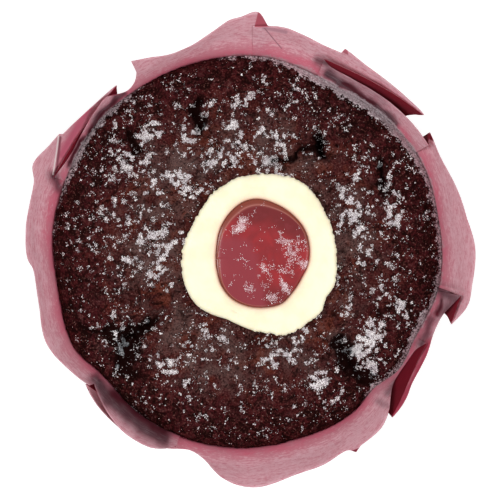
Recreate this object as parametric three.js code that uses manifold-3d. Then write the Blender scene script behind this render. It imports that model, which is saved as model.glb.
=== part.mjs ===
// A chocolate muffin in a pleated paper case, with a ring of cream and a pool of cherry jam in its top.
// Units are millimetres, +Z is up and the case's flat foot stands on z = 0. Bearings are degrees from +X
// towards +Y. The whole outline is centred on the Z axis; the foot stands a little to one side of it.
import * as THREE from 'three';
import Module from 'manifold-3d';

const wasm = await Module();
wasm.setup();

// Case: the folded sheet of greaseproof paper.
const FOOT_RADIUS = 25;
const FOOT_CENTRE = new THREE.Vector2(-1.0, -0.6);
const THROAT_HEIGHT = 47; // where the paper leaves the side of the cake
const SIDE_POWER = 0.85; // how the side opens from the foot to the throat
const PAPER = 0.3;
const LAYER_STEP = 0.85; // from one folded layer to the next
const FOOT_CHAMFER = 0.8;
const CLEARANCE = 0.3; // between neighbours that touch

// Cake: the height of its edge and dome, and the size of the triangles on its top.
const EDGE_HEIGHT = 47.5;
const DOME_RISE = 8.5;
const DOME_SHAPE = [3, 0.7]; // powers of the dome's profile
const TOP_RINGS = 16;
const CAKE_SIDE_HEIGHTS = [31, 16, 6];

// Cream and jam, ring by ring: how far out of the outline and how high.
const TOPPING_CENTRE = new THREE.Vector2(2.5, -0.9);
const TOPPING_SIDES = 52;
const CREAM_BOTTOM = 53.4;
const CREAM_TOP = 57.6;
const DISH_FLOOR = 55.0; // the hollow in the cream that holds the jam
const CREAM_SIDE = [[-1.2, CREAM_BOTTOM], [-0.2, 54.2], [0, 56.3], [-0.5, 57.2], [-1.6, CREAM_TOP]];
const DISH_SIDE = [[1.4, 57.5], [0.3, 56.9], [-0.3, 55.4], [-1.4, DISH_FLOOR]]; // out of the jam's outline
const JAM_BOTTOM = DISH_FLOOR + CLEARANCE;
const JAM_SIDE = [[-1.6, JAM_BOTTOM], [-0.7, 55.8], [-0.1, 57.1]];
const JAM_DOME = [[0.88, 57.42], [0.68, 57.79], [0.4, 58.04]]; // share of the outline, height
const JAM_TOP = 58.1;
const CUT_SPARE = 2; // that the hollow for the cream is cut higher than the cream

// The cake's edge: [bearing, radius].
const CAKE_EDGE = [
  [0, 39.5], [11, 39.3], [23, 39.6], [35, 39.4], [47, 38.8], [60, 38.0], [72, 38.6], [85, 39.8], [103, 40.2],
  [120, 40.4], [140, 40.9], [157, 40.6], [174, 40.8], [191, 40.4], [209, 41.5], [221, 39.9], [235, 40.7],
  [247, 41.0], [264, 41.0], [284, 40.2], [302, 39.7], [312, 38.2], [321, 39.2], [333, 38.4], [348, 39.5],
];

// How far the free paper leans out above the throat for each millimetre up: [bearing, lean].
const PAPER_LEAN = [
  [0, 0.42], [20, 0.37], [33, 0.35], [50, 0.43], [62, 0.5], [75, 0.5], [88, 0.55], [100, 0.45], [110, 0.33],
  [122, 0.45], [134, 0.33], [148, 0.4], [158, 0.5], [175, 0.42], [186, 0.38], [205, 0.45], [220, 0.38],
  [250, 0.3], [258, 0.4], [270, 0.55], [290, 0.52], [310, 0.5], [325, 0.4], [347, 0.42],
];

// The paper's rim, panel by panel round the case: [bearing, radius]. layer counts the sheets that lie inside
// the panel, at its start and its end. Where a panel starts behind the end of the one before it, the paper is
// folded back between them. Every layer leans alike, so a rim of larger radius stands higher.
const PANELS = [
  { name: 'east petal', layer: [2, 2], rim: [[339.9, 44.2], [345.7, 46], [351, 46], [360.5, 46],
    [368.4, 44.8], [377.3, 44.2], [385.7, 43.6], [393.1, 44.2]] },
  { name: 'north-east wall', layer: [0, 0], rim: [[30.6, 42.6], [36.4, 42.4], [41.2, 42.2], [49.3, 41.7],
    [58.8, 41.1], [66.4, 41.3], [68.6, 42]] },
  { name: 'north-east flap', layer: [2, 2], rim: [[38, 45.1], [44.3, 44.9], [50.3, 44.7], [58, 44.8],
    [64.7, 45.6]] },
  { name: 'north petal, right', layer: [2, 0], rim: [[65.2, 44.6], [70.2, 44.7], [76.9, 45.6], [81.4, 46.2],
    [89.1, 46.1]] },
  { name: 'north petal, left', layer: [2, 0], rim: [[88, 48.7], [92.2, 47.8], [95, 47.3], [99.7, 45.5],
    [105.8, 43.8], [112.4, 43.5], [117.6, 44.6], [122.2, 45.7]] },
  { name: 'north-west wall', layer: [0, 0], rim: [[122.8, 43.2], [127, 41.9], [134, 41.9], [139, 42.1],
    [144, 42.2], [151.6, 42.4], [159.5, 42.6]] },
  { name: 'north-west flap', layer: [2, 2], rim: [[129.2, 43.8], [134.5, 43.9], [139.6, 44.2],
    [144.7, 44.8], [148.2, 45.3]] },
  { name: 'west petal', layer: [2, 0], rim: [[148.7, 45.9], [152.5, 46.5], [158.5, 47.8], [162.7, 46.5],
    [174.8, 46.2], [182.5, 45.6], [185.3, 44.7], [194.5, 44.8], [204.7, 46], [215.1, 44.3], [220.1, 43.3]] },
  { name: 'south-west wall', layer: [0, 0], rim: [[220.6, 42.2], [227, 42.1], [233, 42.1], [238.6, 42.2],
    [244.2, 42.2], [249.2, 42.2]] },
  { name: 'south-west flap', layer: [2, 2], rim: [[219.4, 43.9], [226.2, 44.8], [236.2, 45.6],
    [243.1, 45.4], [249.4, 43.9]] },
  { name: 'south petal', layer: [2, 0], rim: [[249.9, 43.7], [253.3, 43.2], [257.3, 44.1], [263.1, 47.1],
    [270.6, 48.6], [282.2, 46.9], [288.9, 46.5], [296, 45.7], [297.7, 46.7]] },
  { name: 'south-east petal', layer: [0, 0], rim: [[299.6, 46], [305.8, 45.4], [309, 44.4], [310.9, 43.5]] },
  { name: 'south-east wall', layer: [2, 0], rim: [[310.5, 45.1], [313.1, 44.8], [316.7, 44.2], [320.7, 43.2],
    [329.4, 42.3], [335.1, 41.6], [340.6, 41.8], [343, 42.4], [347.6, 44.2]] },
];
const LOWEST_RIM = 1.5; // above the throat
const PANEL_STEP = 5; // degrees between samples along a panel
const TUCK_STEP = 7; // and along paper that is folded back
const CREASE = 0.25; // half the width of a crease, in degrees
const FOLD_START = 0.6; // half of a fold's width where it starts, in degrees
const FOLD_HEIGHT = 7; // where the folds start to open
const SHEET_HEIGHTS = [5, 16, 31, THROAT_HEIGHT]; // below the rim

// The foot: one cup, as thick at a fold as the layers that start there.
const CUP_HEIGHTS = [0.8, 4, 8];
const CUP_LAYERS = [0.2, 1, 1]; // share of the layers' step at each of these heights
const CUP_SPARE = 0.05; // that the cup is thicker than the sheets that start in it, to each side
const CUP_FOLD = 1.1; // half of a fold's width in the cup, in degrees

// Crags and cracks in the crust: the line they follow, their half width and their depth.
const CRAGS = [
  { line: [[-11, 28.8], [-10.4, 25.6]], half: 2.0, depth: 2.4 },
  { line: [[-24.8, 24], [-24.2, 21]], half: 1.7, depth: 2.0 },
  { line: [[4.6, 18.7], [11.2, 20], [14.7, 21.2]], half: 1.5, depth: 1.6 },
  { line: [[14.7, 22.4], [14.7, 20.2]], half: 1.9, depth: 3.4 },
  { line: [[27.3, 17.7], [27.3, 12.8]], half: 1.6, depth: 2.4 },
  { line: [[36, 9.6], [36.2, 7.6]], half: 1.4, depth: 1.4 },
  { line: [[-34.9, -15.4], [-29.5, -16.7]], half: 1.4, depth: 1.4 },
  { line: [[-26.6, -23.4], [-25, -18.6], [-20.7, -14.4]], half: 2.6, depth: 4.0 },
  { line: [[18.6, -19.1], [19.9, -23.3], [24.4, -26.5]], half: 2.2, depth: 4.0 },
  { line: [[27, -12], [30, -12.6]], half: 1.7, depth: 1.8 },
];
// Smooth swells between them: x, y, half width and height.
const SWELLS = [[-15.5, -18.2, 5, 1.1], [9.6, 17, 3.4, 0.7], [-6, 33, 5, 0.5], [27, -20, 3, 0.8],
  [-24, 4, 6, 0.5], [4, -28, 6, 0.7], [32, 4, 4, 0.5], [-16, 20, 5, 0.6]];
// Ripple of the crust between crags: its height, and radians a millimetre with the bend of its lines.
const RIPPLE = { height: 0.45, x: 0.9, y: 0.8, bendX: [2, 0.35], bendY: [1.3, 0.4] };
const EDGE_POWER = 6; // how suddenly the relief dies out at the cake's edge

// Drifts of icing sugar that stand proud of the crust: x, y, half width and the number of lumps.
const DRIFTS = [
  [-25, 18.5, 3, 3], [-17, 24, 4, 4], [-8, 28.5, 2, 2], [-4, 24, 3, 3], [2, 24.3, 2, 3], [6.5, 23.5, 2, 2],
  [-7.5, 19.5, 2.5, 3], [-13.5, 13, 2.5, 3], [20, 24, 2.5, 3], [14, 29.5, 3, 2], [18.5, 12, 2.5, 3],
  [22.5, 5, 2, 3], [24.5, -1.5, 2, 3], [29.5, 8, 3, 4], [25, -8, 2, 2], [20.5, -12.5, 2, 2],
  [30, -10.5, 2.5, 2], [23.5, -19.5, 2.6, 5], [15.5, -25.5, 2.5, 4], [18, -30, 2, 2], [7, -20.5, 4, 4],
  [-18, -23.5, 3, 3], [-11, -20, 4, 3], [-27, -16, 2, 2], [-17, -3, 3, 3], [-26, -2, 3, 2],
  [-29, 8, 3, 2], [-2, -30, 9, 4],
];
const LUMP_RADIUS = [0.9, 1.6];
const LUMP_HEIGHT = 0.45;
const LUMP_OVAL = 0.75; // its width over its length
const LUMP_SEED = 20;

// Outline of the cream and of the jam in its middle.
const CREAM_OUTLINE = [[1.7, 15.6], [6.7, 15.4], [10.4, 14], [12.8, 12.1], [14.7, 9.2], [16.3, 6],
  [17.6, 1.4], [17.7, -2.5], [17.4, -7], [15.9, -9.6], [14.4, -12.9], [11, -15.6], [6.9, -17.5], [4, -17.2],
  [-4.2, -14.5], [-8.3, -13], [-10.8, -11.5], [-12.7, -8.8], [-13.9, -4.7], [-14.1, -1.6], [-13.2, 2.3],
  [-11.4, 6], [-9.1, 9.9], [-5.9, 13.1], [-2.8, 14.7]];
const JAM_OUTLINE = [[1.5, 10.5], [5.4, 9.4], [9.1, 6.9], [11.1, 4.4], [12.2, 0.4], [11.9, -2.9],
  [10.6, -5.7], [8.6, -8.8], [6.4, -11], [3, -11.8], [-0.5, -11.5], [-3.8, -9.9], [-5.9, -7.2],
  [-6.8, -4.1], [-6.9, 0.4], [-5.9, 4.9], [-3.8, 8], [-1.3, 9.9]];

const { lerp, smoothstep, degToRad, euclideanModulo } = THREE.MathUtils;

function seededRandom(seed) {
  let state = seed;
  return () => {
    state = (state + 0x6d2b79f5) | 0;
    let t = Math.imul(state ^ (state >>> 15), 1 | state);
    t = (t + Math.imul(t ^ (t >>> 7), 61 | t)) ^ t;
    return ((t ^ (t >>> 14)) >>> 0) / 4294967296;
  };
}

// Point at a bearing and radius round a centre.
function polar(centre, bearing, radius, z) {
  const angle = degToRad(bearing);
  return new THREE.Vector3(centre.x + radius * Math.cos(angle), centre.y + radius * Math.sin(angle), z);
}

// Value at any bearing, such as a radius, through [bearing, value] knots that go once round.
function radiusRound(knots) {
  const turned = (turn) => knots.map(([bearing, radius]) => [bearing + 360 * turn, radius]);
  const turns = [-1, 0, 1].flatMap(turned);
  return (bearing) => {
    const at = euclideanModulo(bearing, 360);
    const next = turns.findIndex((knot) => knot[0] > at);
    const [p0, p1, p2, p3] = [-2, -1, 0, 1].map((step) => turns[next + step]);
    const t = (at - p1[0]) / (p2[0] - p1[0]);
    const slope = (a, b) => ((b[1] - a[1]) / (b[0] - a[0])) * (p2[0] - p1[0]);
    const [m1, m2] = [slope(p0, p2), slope(p1, p3)];
    const rise = p2[1] - p1[1];
    return p1[1] + t * (m1 + t * (3 * rise - 2 * m1 - m2 + t * (m1 + m2 - 2 * rise)));
  };
}

// Radius at any bearing of an outline given by points, seen from a centre inside it.
function outlineRound(points, centre) {
  const knots = points.map(([x, y]) => {
    const bearing = euclideanModulo(THREE.MathUtils.radToDeg(Math.atan2(y - centre.y, x - centre.x)), 360);
    return [bearing, Math.hypot(x - centre.x, y - centre.y)];
  });
  return radiusRound(knots.sort((a, b) => a[0] - b[0]));
}

const edgeRadius = radiusRound(CAKE_EDGE);
const paperLean = radiusRound(PAPER_LEAN);
const creamRadius = outlineRound(CREAM_OUTLINE, TOPPING_CENTRE);
const jamRadius = outlineRound(JAM_OUTLINE, TOPPING_CENTRE);

function closedGeometry(points, triangles) {
  const geometry = new THREE.BufferGeometry().setFromPoints(points);
  geometry.setIndex(triangles.flat());
  return geometry;
}

// Two triangles for each side between ring a and ring b, which start at these places in the point list.
function band(a, b, sides) {
  return Array.from({ length: sides }, (_, i) => {
    const j = (i + 1) % sides;
    return [[a + i, a + j, b + j], [a + i, b + j, b + i]];
  }).flat();
}

// Closed body through rings of equal count, from one point on its axis to another.
function loft(first, rings, last) {
  const sides = rings[0].length;
  const points = [first, ...rings.flat(), last];
  const start = (ring) => 1 + ring * sides;
  const end = points.length - 1;
  const triangles = rings.slice(1).flatMap((_, i) => band(start(i), start(i + 1), sides));
  for (let i = 0; i < sides; i += 1) {
    const j = (i + 1) % sides;
    triangles.push([0, 1 + j, 1 + i], [end, start(rings.length - 1) + i, start(rings.length - 1) + j]);
  }
  return closedGeometry(points, triangles);
}

// ---------- Paper case ----------

// Radius of the paper's middle above the throat, or at the throat where the height is 0.
function flareRadius(bearing, layer, height) {
  return edgeRadius(bearing) + CLEARANCE + PAPER / 2 + layer * LAYER_STEP + paperLean(bearing) * height;
}

// Places along a panel: each has its bearings at the rim and where the folds start, its layer and the height
// of its rim above the throat.
function panelSamples(panel, low) {
  const rim = new THREE.CatmullRomCurve3(panel.rim.map((knot) => new THREE.Vector3(...knot, 0)));
  const span = panel.rim.at(-1)[0] - panel.rim[0][0];
  const count = Math.max(2, Math.round(span / PANEL_STEP));
  return Array.from({ length: count + 1 }, (_, i) => {
    const t = i / count;
    const { x: bearing, y: radius } = rim.getPoint(t);
    const layer = lerp(...panel.layer, t);
    const height = Math.max(LOWEST_RIM, (radius - flareRadius(bearing, layer, 0)) / paperLean(bearing));
    return { bearing, height, layer, low: lerp(...low, t) };
  });
}

// Paper folded back between the start of a panel and the end of the one before it, in order of bearing.
function tuckSamples(from, to) {
  const count = Math.max(1, Math.round((to.bearing - from.bearing) / TUCK_STEP));
  return Array.from({ length: count + 1 }, (_, i) => {
    const between = (key) => lerp(from[key], to[key], i / count);
    const [bearing, height, low] = ['bearing', 'height', 'low'].map(between);
    return { bearing, height, low, layer: (from.layer + to.layer) / 2 };
  });
}

// Where the end of each panel meets the start of the next, and how far they overlap there.
function panelJoints() {
  return PANELS.map((panel, i) => {
    const next = PANELS[(i + 1) % PANELS.length];
    const end = panel.rim.at(-1)[0];
    const gap = ((next.rim[0][0] - end + 540) % 360) - 180;
    return { middle: end + gap / 2, folded: gap < 0, layers: [panel.layer[1], next.layer[0]] };
  });
}

// Point of the paper at a height, moved out of its middle by a distance.
function paperPoint(sample, height, distance) {
  const free = Math.max(0, height - THROAT_HEIGHT);
  const onSide = Math.min(height, THROAT_HEIGHT);
  const open = (onSide / THROAT_HEIGHT) ** SIDE_POWER;
  const bearing = lerp(sample.low, sample.bearing, smoothstep(onSide, FOLD_HEIGHT, THROAT_HEIGHT));
  const foot = FOOT_RADIUS + sample.layer * LAYER_STEP;
  const radius = lerp(foot, flareRadius(bearing, sample.layer, free), open);
  const centre = FOOT_CENTRE.clone().multiplyScalar(1 - open);
  return polar(centre, bearing, radius + distance, height);
}

// Closed sheet through samples in order of bearing, between two distances from its middle.
function sheet(samples, inside, outside) {
  const heights = (sample) => [...SHEET_HEIGHTS, THROAT_HEIGHT + sample.height];
  const columns = samples.map((sample) => {
    const face = (distance) => heights(sample).map((height) => paperPoint(sample, height, distance));
    return [...face(outside), ...face(inside).reverse()];
  });
  const around = columns[0].length;
  const triangles = columns.slice(1).flatMap((_, i) => band((i + 1) * around, i * around, around));
  const last = (columns.length - 1) * around;
  for (let i = 1; i < around / 2; i += 1) {
    const [low, high, lowInside, highInside] = [i - 1, i, around - i, around - 1 - i];
    const end = [[lowInside, low, high], [lowInside, high, highInside]];
    triangles.push(...end, ...end.map((corners) => corners.map((corner) => last + corner).reverse()));
  }
  return toSolid(closedGeometry(columns.flat(), triangles));
}

// A crease that joins a sheet to the next layer at its end.
function crease(sample, layers) {
  const [low, high] = [Math.min(...layers), Math.max(...layers)];
  const edge = (side) => {
    return { ...sample, layer: low, bearing: sample.bearing + side, low: sample.low + side };
  };
  const reach = PAPER / 4;
  return sheet([edge(-CREASE), edge(CREASE)], -reach, (high - low) * LAYER_STEP + reach);
}

// The foot of the case: a cup whose wall follows the sheets that start in it.
function caseCup(panels, joints) {
  const clear = (sample) => joints.filter((joint) => joint.folded).every((joint) => {
    return Math.abs(((sample.low - joint.middle + 540) % 360) - 180) > 2 * CUP_FOLD;
  });
  const ring = panels.flatMap((samples, i) => {
    const { middle, folded, layers } = joints[i];
    const single = samples.filter(clear).map(({ low, layer }) => ({ low, inner: layer, outer: layer }));
    if (!folded) return single;
    const [inner, outer] = [Math.min(...layers), Math.max(...layers)];
    return [...single, ...[middle - CUP_FOLD, middle + CUP_FOLD].map((low) => ({ low, inner, outer }))];
  });
  const half = PAPER / 2 + CUP_SPARE;
  const wall = (side, layerKey) => CUP_HEIGHTS.map((height, i) => ring.map((place) => {
    const sample = { layer: place[layerKey] * CUP_LAYERS[i], low: place.low, bearing: place.low };
    return paperPoint(sample, height, side * half);
  }));
  const foot = (radius, z, layerKey) => ring.map((place) => {
    return polar(FOOT_CENTRE, place.low, radius + place[layerKey] * CUP_LAYERS[0] * LAYER_STEP, z);
  });
  const rings = [foot(FOOT_RADIUS - FOOT_CHAMFER, 0, 'outer'), ...wall(1, 'outer'),
    ...wall(-1, 'inner').reverse(), foot(FOOT_RADIUS - FOOT_CHAMFER - PAPER, PAPER, 'inner')];
  const centre = (z) => new THREE.Vector3(FOOT_CENTRE.x, FOOT_CENTRE.y, z);
  return toSolid(loft(centre(0), rings, centre(PAPER)));
}

// Sheets of the case: panels that meet without a fold are one sheet.
function caseSheets(panels, joints) {
  const sheets = [];
  panels.forEach((samples, i) => {
    if (joints.at(i - 1).folded) sheets.push([...samples]);
    else sheets.at(-1).push(...samples);
  });
  return sheets.map((samples) => sheet(samples, -PAPER / 2, PAPER / 2));
}

// The paper folded back at a joint, and the creases at its two ends.
function fold(end, next, layers) {
  const turn = 360 * Math.round((end.bearing - next.bearing) / 360);
  const start = { ...next, bearing: next.bearing + turn, low: next.low + turn };
  const middle = (layers[0] + layers[1]) / 2;
  const tuck = sheet(tuckSamples(start, end), -PAPER / 2, PAPER / 2);
  return [tuck, crease(end, [layers[0], middle]), crease(start, [middle, layers[1]])];
}

function paperCase() {
  const joints = panelJoints();
  const panels = PANELS.map((panel, i) => {
    const [before, after] = [joints.at(i - 1), joints[i]];
    const [first, last] = [panel.rim[0][0], panel.rim.at(-1)[0]];
    const turn = 360 * Math.round((first - before.middle) / 360);
    const low = [
      before.folded ? before.middle + turn - FOLD_START : first,
      after.folded ? after.middle + FOLD_START : last,
    ];
    return panelSamples(panel, low);
  });
  const folds = joints.flatMap(({ folded, layers }, i) => {
    return folded ? fold(panels[i].at(-1), panels[(i + 1) % panels.length][0], layers) : [];
  });
  const pieces = [...caseSheets(panels, joints), ...folds];
  return toGeometry(pieces.reduce((whole, piece) => whole.add(piece), caseCup(panels, joints)));
}

// ---------- Cake ----------

function distanceToLine(x, y, line) {
  const at = new THREE.Vector3(x, y, 0);
  const near = new THREE.Vector3();
  return Math.min(...line.slice(1).map((end, i) => {
    const piece = new THREE.Line3(new THREE.Vector3(...line[i], 0), new THREE.Vector3(...end, 0));
    return piece.closestPointToPoint(at, true, near).distanceTo(at);
  }));
}

// Height of the crust, which falls away at the cake's edge.
function crustHeight(x, y) {
  const bearing = THREE.MathUtils.radToDeg(Math.atan2(y, x));
  const out = Math.min(1, Math.hypot(x, y) / edgeRadius(bearing));
  const dome = DOME_RISE * (1 - out ** DOME_SHAPE[0]) ** DOME_SHAPE[1];
  const bell = (distance, half) => Math.exp(-((distance / half) ** 2));
  const crags = CRAGS.map(({ line, half, depth }) => -depth * bell(distanceToLine(x, y, line), half));
  const swells = SWELLS.map(([sx, sy, half, height]) => height * bell(Math.hypot(x - sx, y - sy), half));
  const wave = (at, [size, turn]) => size * Math.sin(turn * at);
  const across = Math.sin(RIPPLE.x * x + wave(y, RIPPLE.bendX));
  const along = Math.sin(RIPPLE.y * y + wave(x, RIPPLE.bendY));
  const ripple = RIPPLE.height * across * along;
  const relief = [...crags, ...swells, ripple].reduce((sum, value) => sum + value, 0);
  return EDGE_HEIGHT + dome + relief * (1 - out ** EDGE_POWER);
}

// Solid of the cake without toppings: a fluted cone under a top of even triangles.
function cakeBody() {
  const spot = (ring, i) => {
    const bearing = (360 * i) / (6 * ring);
    return polar(new THREE.Vector2(), bearing, (ring / TOP_RINGS) * edgeRadius(bearing), 0);
  };
  const points = [new THREE.Vector3(0, 0, crustHeight(0, 0))];
  const start = [0];
  for (let ring = 1; ring <= TOP_RINGS; ring += 1) {
    start.push(points.length);
    for (let i = 0; i < 6 * ring; i += 1) {
      const point = spot(ring, i);
      point.z = crustHeight(point.x, point.y);
      points.push(point);
    }
  }
  const triangles = [];
  for (let ring = 0; ring < TOP_RINGS; ring += 1) {
    const inner = (i) => start[ring] + (ring ? i % (6 * ring) : 0);
    const outer = (i) => start[ring + 1] + (i % (6 * (ring + 1)));
    for (let sixth = 0; sixth < 6; sixth += 1) {
      for (let i = 0; i <= ring; i += 1) {
        const [a, b] = [sixth * ring + i, sixth * (ring + 1) + i];
        triangles.push([inner(a), outer(b), outer(b + 1)]);
        if (i < ring) triangles.push([inner(a), outer(b + 1), inner(a + 1)]);
      }
    }
  }
  const sides = 6 * TOP_RINGS;
  const footRadius = FOOT_RADIUS - FOOT_CHAMFER;
  const heights = [...CAKE_SIDE_HEIGHTS, PAPER + CLEARANCE];
  let above = start[TOP_RINGS];
  for (const height of heights) {
    const open = (height / THROAT_HEIGHT) ** SIDE_POWER;
    const centre = FOOT_CENTRE.clone().multiplyScalar(1 - open);
    const below = points.length;
    for (let i = 0; i < sides; i += 1) {
      const bearing = (360 * i) / sides;
      points.push(polar(centre, bearing, lerp(footRadius - CLEARANCE, edgeRadius(bearing), open), height));
    }
    triangles.push(...band(below, above, sides));
    above = below;
  }
  const bottom = points.length;
  points.push(new THREE.Vector3(FOOT_CENTRE.x, FOOT_CENTRE.y, PAPER + CLEARANCE));
  for (let i = 0; i < sides; i += 1) triangles.push([bottom, above + ((i + 1) % sides), above + i]);
  return closedGeometry(points, triangles);
}

// Lumps of icing sugar, scattered over the drifts, clear of the cream and the case.
function sugarLumps() {
  const random = seededRandom(LUMP_SEED);
  const lumps = [];
  for (const [x, y, spread, count] of DRIFTS) {
    for (let i = 0; i < count; i += 1) {
      const angle = 2 * Math.PI * random();
      const reach = spread * Math.sqrt(random());
      const radius = lerp(...LUMP_RADIUS, random() ** 2);
      const spot = new THREE.Vector2(x + reach * Math.cos(angle), y + reach * Math.sin(angle));
      const turn = Math.PI * random();
      const fromCream = spot.clone().sub(TOPPING_CENTRE);
      const bearing = THREE.MathUtils.radToDeg(fromCream.angle());
      const clear = fromCream.length() > creamRadius(bearing) + radius + 2 * CLEARANCE;
      if (clear) lumps.push({ spot, radius, turn });
    }
  }
  return lumps.map(({ spot, radius, turn }) => {
    const lump = new THREE.SphereGeometry(1, 6, 3);
    lump.rotateX(Math.PI / 2).scale(radius, radius * LUMP_OVAL, LUMP_HEIGHT).rotateZ(turn);
    return lump.translate(spot.x, spot.y, crustHeight(spot.x, spot.y));
  });
}

function toSolid(geometry) {
  const numbers = geometry.getAttribute('position').array;
  const triangles = Uint32Array.from(geometry.index.array);
  const mesh = new wasm.Mesh({ numProp: 3, vertProperties: numbers, triVerts: triangles });
  mesh.merge();
  return new wasm.Manifold(mesh);
}

function toGeometry(solid) {
  const { vertProperties, triVerts } = solid.getMesh();
  const geometry = new THREE.BufferGeometry();
  geometry.setAttribute('position', new THREE.BufferAttribute(vertProperties, 3));
  geometry.setIndex(new THREE.BufferAttribute(triVerts, 1));
  return geometry;
}

function cake() {
  const ring = (margin, z) => toppingRing(creamRadius, margin, z);
  const bottom = CREAM_BOTTOM - CLEARANCE;
  const above = CREAM_TOP + CUT_SPARE;
  const wall = [ring(CLEARANCE, bottom), ring(CLEARANCE, above)];
  const hollow = loft(toppingCentre(bottom), wall, toppingCentre(above));
  let solid = toSolid(cakeBody());
  for (const lump of sugarLumps()) solid = solid.add(toSolid(lump));
  return toGeometry(solid.subtract(toSolid(hollow)));
}

// ---------- Cream and jam ----------

function toppingCentre(z) {
  return new THREE.Vector3(TOPPING_CENTRE.x, TOPPING_CENTRE.y, z);
}

// Ring that follows an outline, moved out by a margin and then scaled towards its centre.
function toppingRing(radius, margin, z, scale = 1) {
  return Array.from({ length: TOPPING_SIDES }, (_, i) => {
    const bearing = (360 * i) / TOPPING_SIDES;
    return polar(TOPPING_CENTRE, bearing, scale * (radius(bearing) + margin), z);
  });
}

// A smooth dish of cream: flat under, rounded shoulders, and a hollow in its middle.
function cream() {
  const side = CREAM_SIDE.map(([margin, z]) => toppingRing(creamRadius, margin, z));
  const dish = DISH_SIDE.map(([margin, z]) => toppingRing(jamRadius, margin, z));
  return loft(toppingCentre(CREAM_BOTTOM), [...side, ...dish], toppingCentre(DISH_FLOOR));
}

// A pool of jam that fills the hollow and stands in a low dome.
function jam() {
  const side = JAM_SIDE.map(([margin, z]) => toppingRing(jamRadius, margin, z));
  const dome = JAM_DOME.map(([scale, z]) => toppingRing(jamRadius, 0, z, scale));
  return loft(toppingCentre(JAM_BOTTOM), [...side, ...dome], toppingCentre(JAM_TOP));
}

function part(name, geometry, material) {
  geometry.computeVertexNormals();
  const mesh = new THREE.Mesh(geometry, new THREE.MeshStandardMaterial({ metalness: 0, ...material }));
  mesh.name = name;
  return mesh;
}

const group = new THREE.Group();
group.add(
  part('paper_case', paperCase(), { color: 0xb8707f, roughness: 0.75 }),
  part('cake', cake(), { color: 0x3b1f1b, roughness: 0.9 }),
  part('cream', cream(), { color: 0xfdf6d8, roughness: 0.5 }),
  part('jam', jam(), { color: 0x84222a, roughness: 0.15 }),
);

export default group;
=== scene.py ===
"""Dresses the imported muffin: folded paper case, chocolate crust, icing sugar, cream and cherry jam.

Sizes are in millimetres until a mesh is made, and bearings are degrees from +X towards +Y.
"""

import logging
import math
from collections.abc import Mapping, Sequence
from dataclasses import dataclass
from enum import Enum
from typing import Any

import bpy
import numpy as np
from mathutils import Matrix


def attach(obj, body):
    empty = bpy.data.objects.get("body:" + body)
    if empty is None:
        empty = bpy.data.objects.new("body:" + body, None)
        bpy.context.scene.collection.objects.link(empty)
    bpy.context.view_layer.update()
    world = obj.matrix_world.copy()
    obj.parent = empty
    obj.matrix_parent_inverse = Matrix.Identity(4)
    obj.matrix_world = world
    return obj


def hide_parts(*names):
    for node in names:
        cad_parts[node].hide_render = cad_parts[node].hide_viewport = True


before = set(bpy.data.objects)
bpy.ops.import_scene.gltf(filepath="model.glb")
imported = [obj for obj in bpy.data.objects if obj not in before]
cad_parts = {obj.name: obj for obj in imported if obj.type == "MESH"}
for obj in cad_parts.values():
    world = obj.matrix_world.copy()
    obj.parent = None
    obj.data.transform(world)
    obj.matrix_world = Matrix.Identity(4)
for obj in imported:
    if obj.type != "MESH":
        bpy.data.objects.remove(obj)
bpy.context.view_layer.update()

LOG = logging.getLogger("muffin")
MM = 0.001

Array = np.ndarray
Knots = Sequence[tuple[float, float]]
Line = tuple[tuple[float, float], ...]
Spots = tuple[tuple[float, float, float, float], ...]
Object = bpy.types.Object
Material = bpy.types.Material
Tree = bpy.types.NodeTree
Socket = bpy.types.NodeSocket


class Slot(Enum):
    """Material slots of the record."""

    PAPER = "case_paper"
    CRUST = "cake_crumb"
    CREAM = "cream"
    JAM = "jam"


# ---------- Curves and noise ----------


class RoundCurve:
    """A value at any bearing, such as a radius, through knots that go once round."""

    def __init__(self, knots: Knots) -> None:
        """Args:
            knots: (bearing, value) pairs in any order.
        """
        ordered = sorted(knots)
        self.at = np.array([bearing + turn for turn in (-360, 0, 360) for bearing, _ in ordered])
        self.value = np.tile([value for _, value in ordered], 3)

    def __call__(self, bearing: Array) -> Array:
        """Args:
            bearing: degrees, of any shape.

        Returns:
            The value at each bearing.
        """
        at = np.mod(bearing, 360.0)
        after = np.searchsorted(self.at, at, side="right")
        x0, x1, x2, x3 = (self.at[after + step] for step in (-2, -1, 0, 1))
        y0, y1, y2, y3 = (self.value[after + step] for step in (-2, -1, 0, 1))
        t = (at - x1) / (x2 - x1)
        m1 = (y2 - y0) / (x2 - x0) * (x2 - x1)
        m2 = (y3 - y1) / (x3 - x1) * (x2 - x1)
        rise = y2 - y1
        return y1 + t * (m1 + t * (3 * rise - 2 * m1 - m2 + t * (m1 + m2 - 2 * rise)))


def outline(points: Sequence[tuple[float, float]], centre: tuple[float, float]) -> RoundCurve:
    """Args:
        points: an outline, in order.
        centre: a point inside it.

    Returns:
        The outline's radius at any bearing, seen from the centre.
    """
    offset = np.array(points) - centre
    bearing = np.degrees(np.arctan2(offset[:, 1], offset[:, 0])) % 360
    return RoundCurve(list(zip(bearing.tolist(), np.hypot(*offset.T).tolist())))


def smooth(value: Array, low: float, high: float) -> Array:
    """Args:
        value: numbers to ease.
        low: where the result is 0.
        high: where it is 1.

    Returns:
        A smooth step from 0 to 1.
    """
    t = np.clip((value - low) / (high - low), 0.0, 1.0)
    return t * t * (3 - 2 * t)


def bell(distance: Array, half: float) -> Array:
    """Returns 1 at no distance, easing to 0 past a few half widths."""
    return np.exp(-((distance / half) ** 2))


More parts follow.
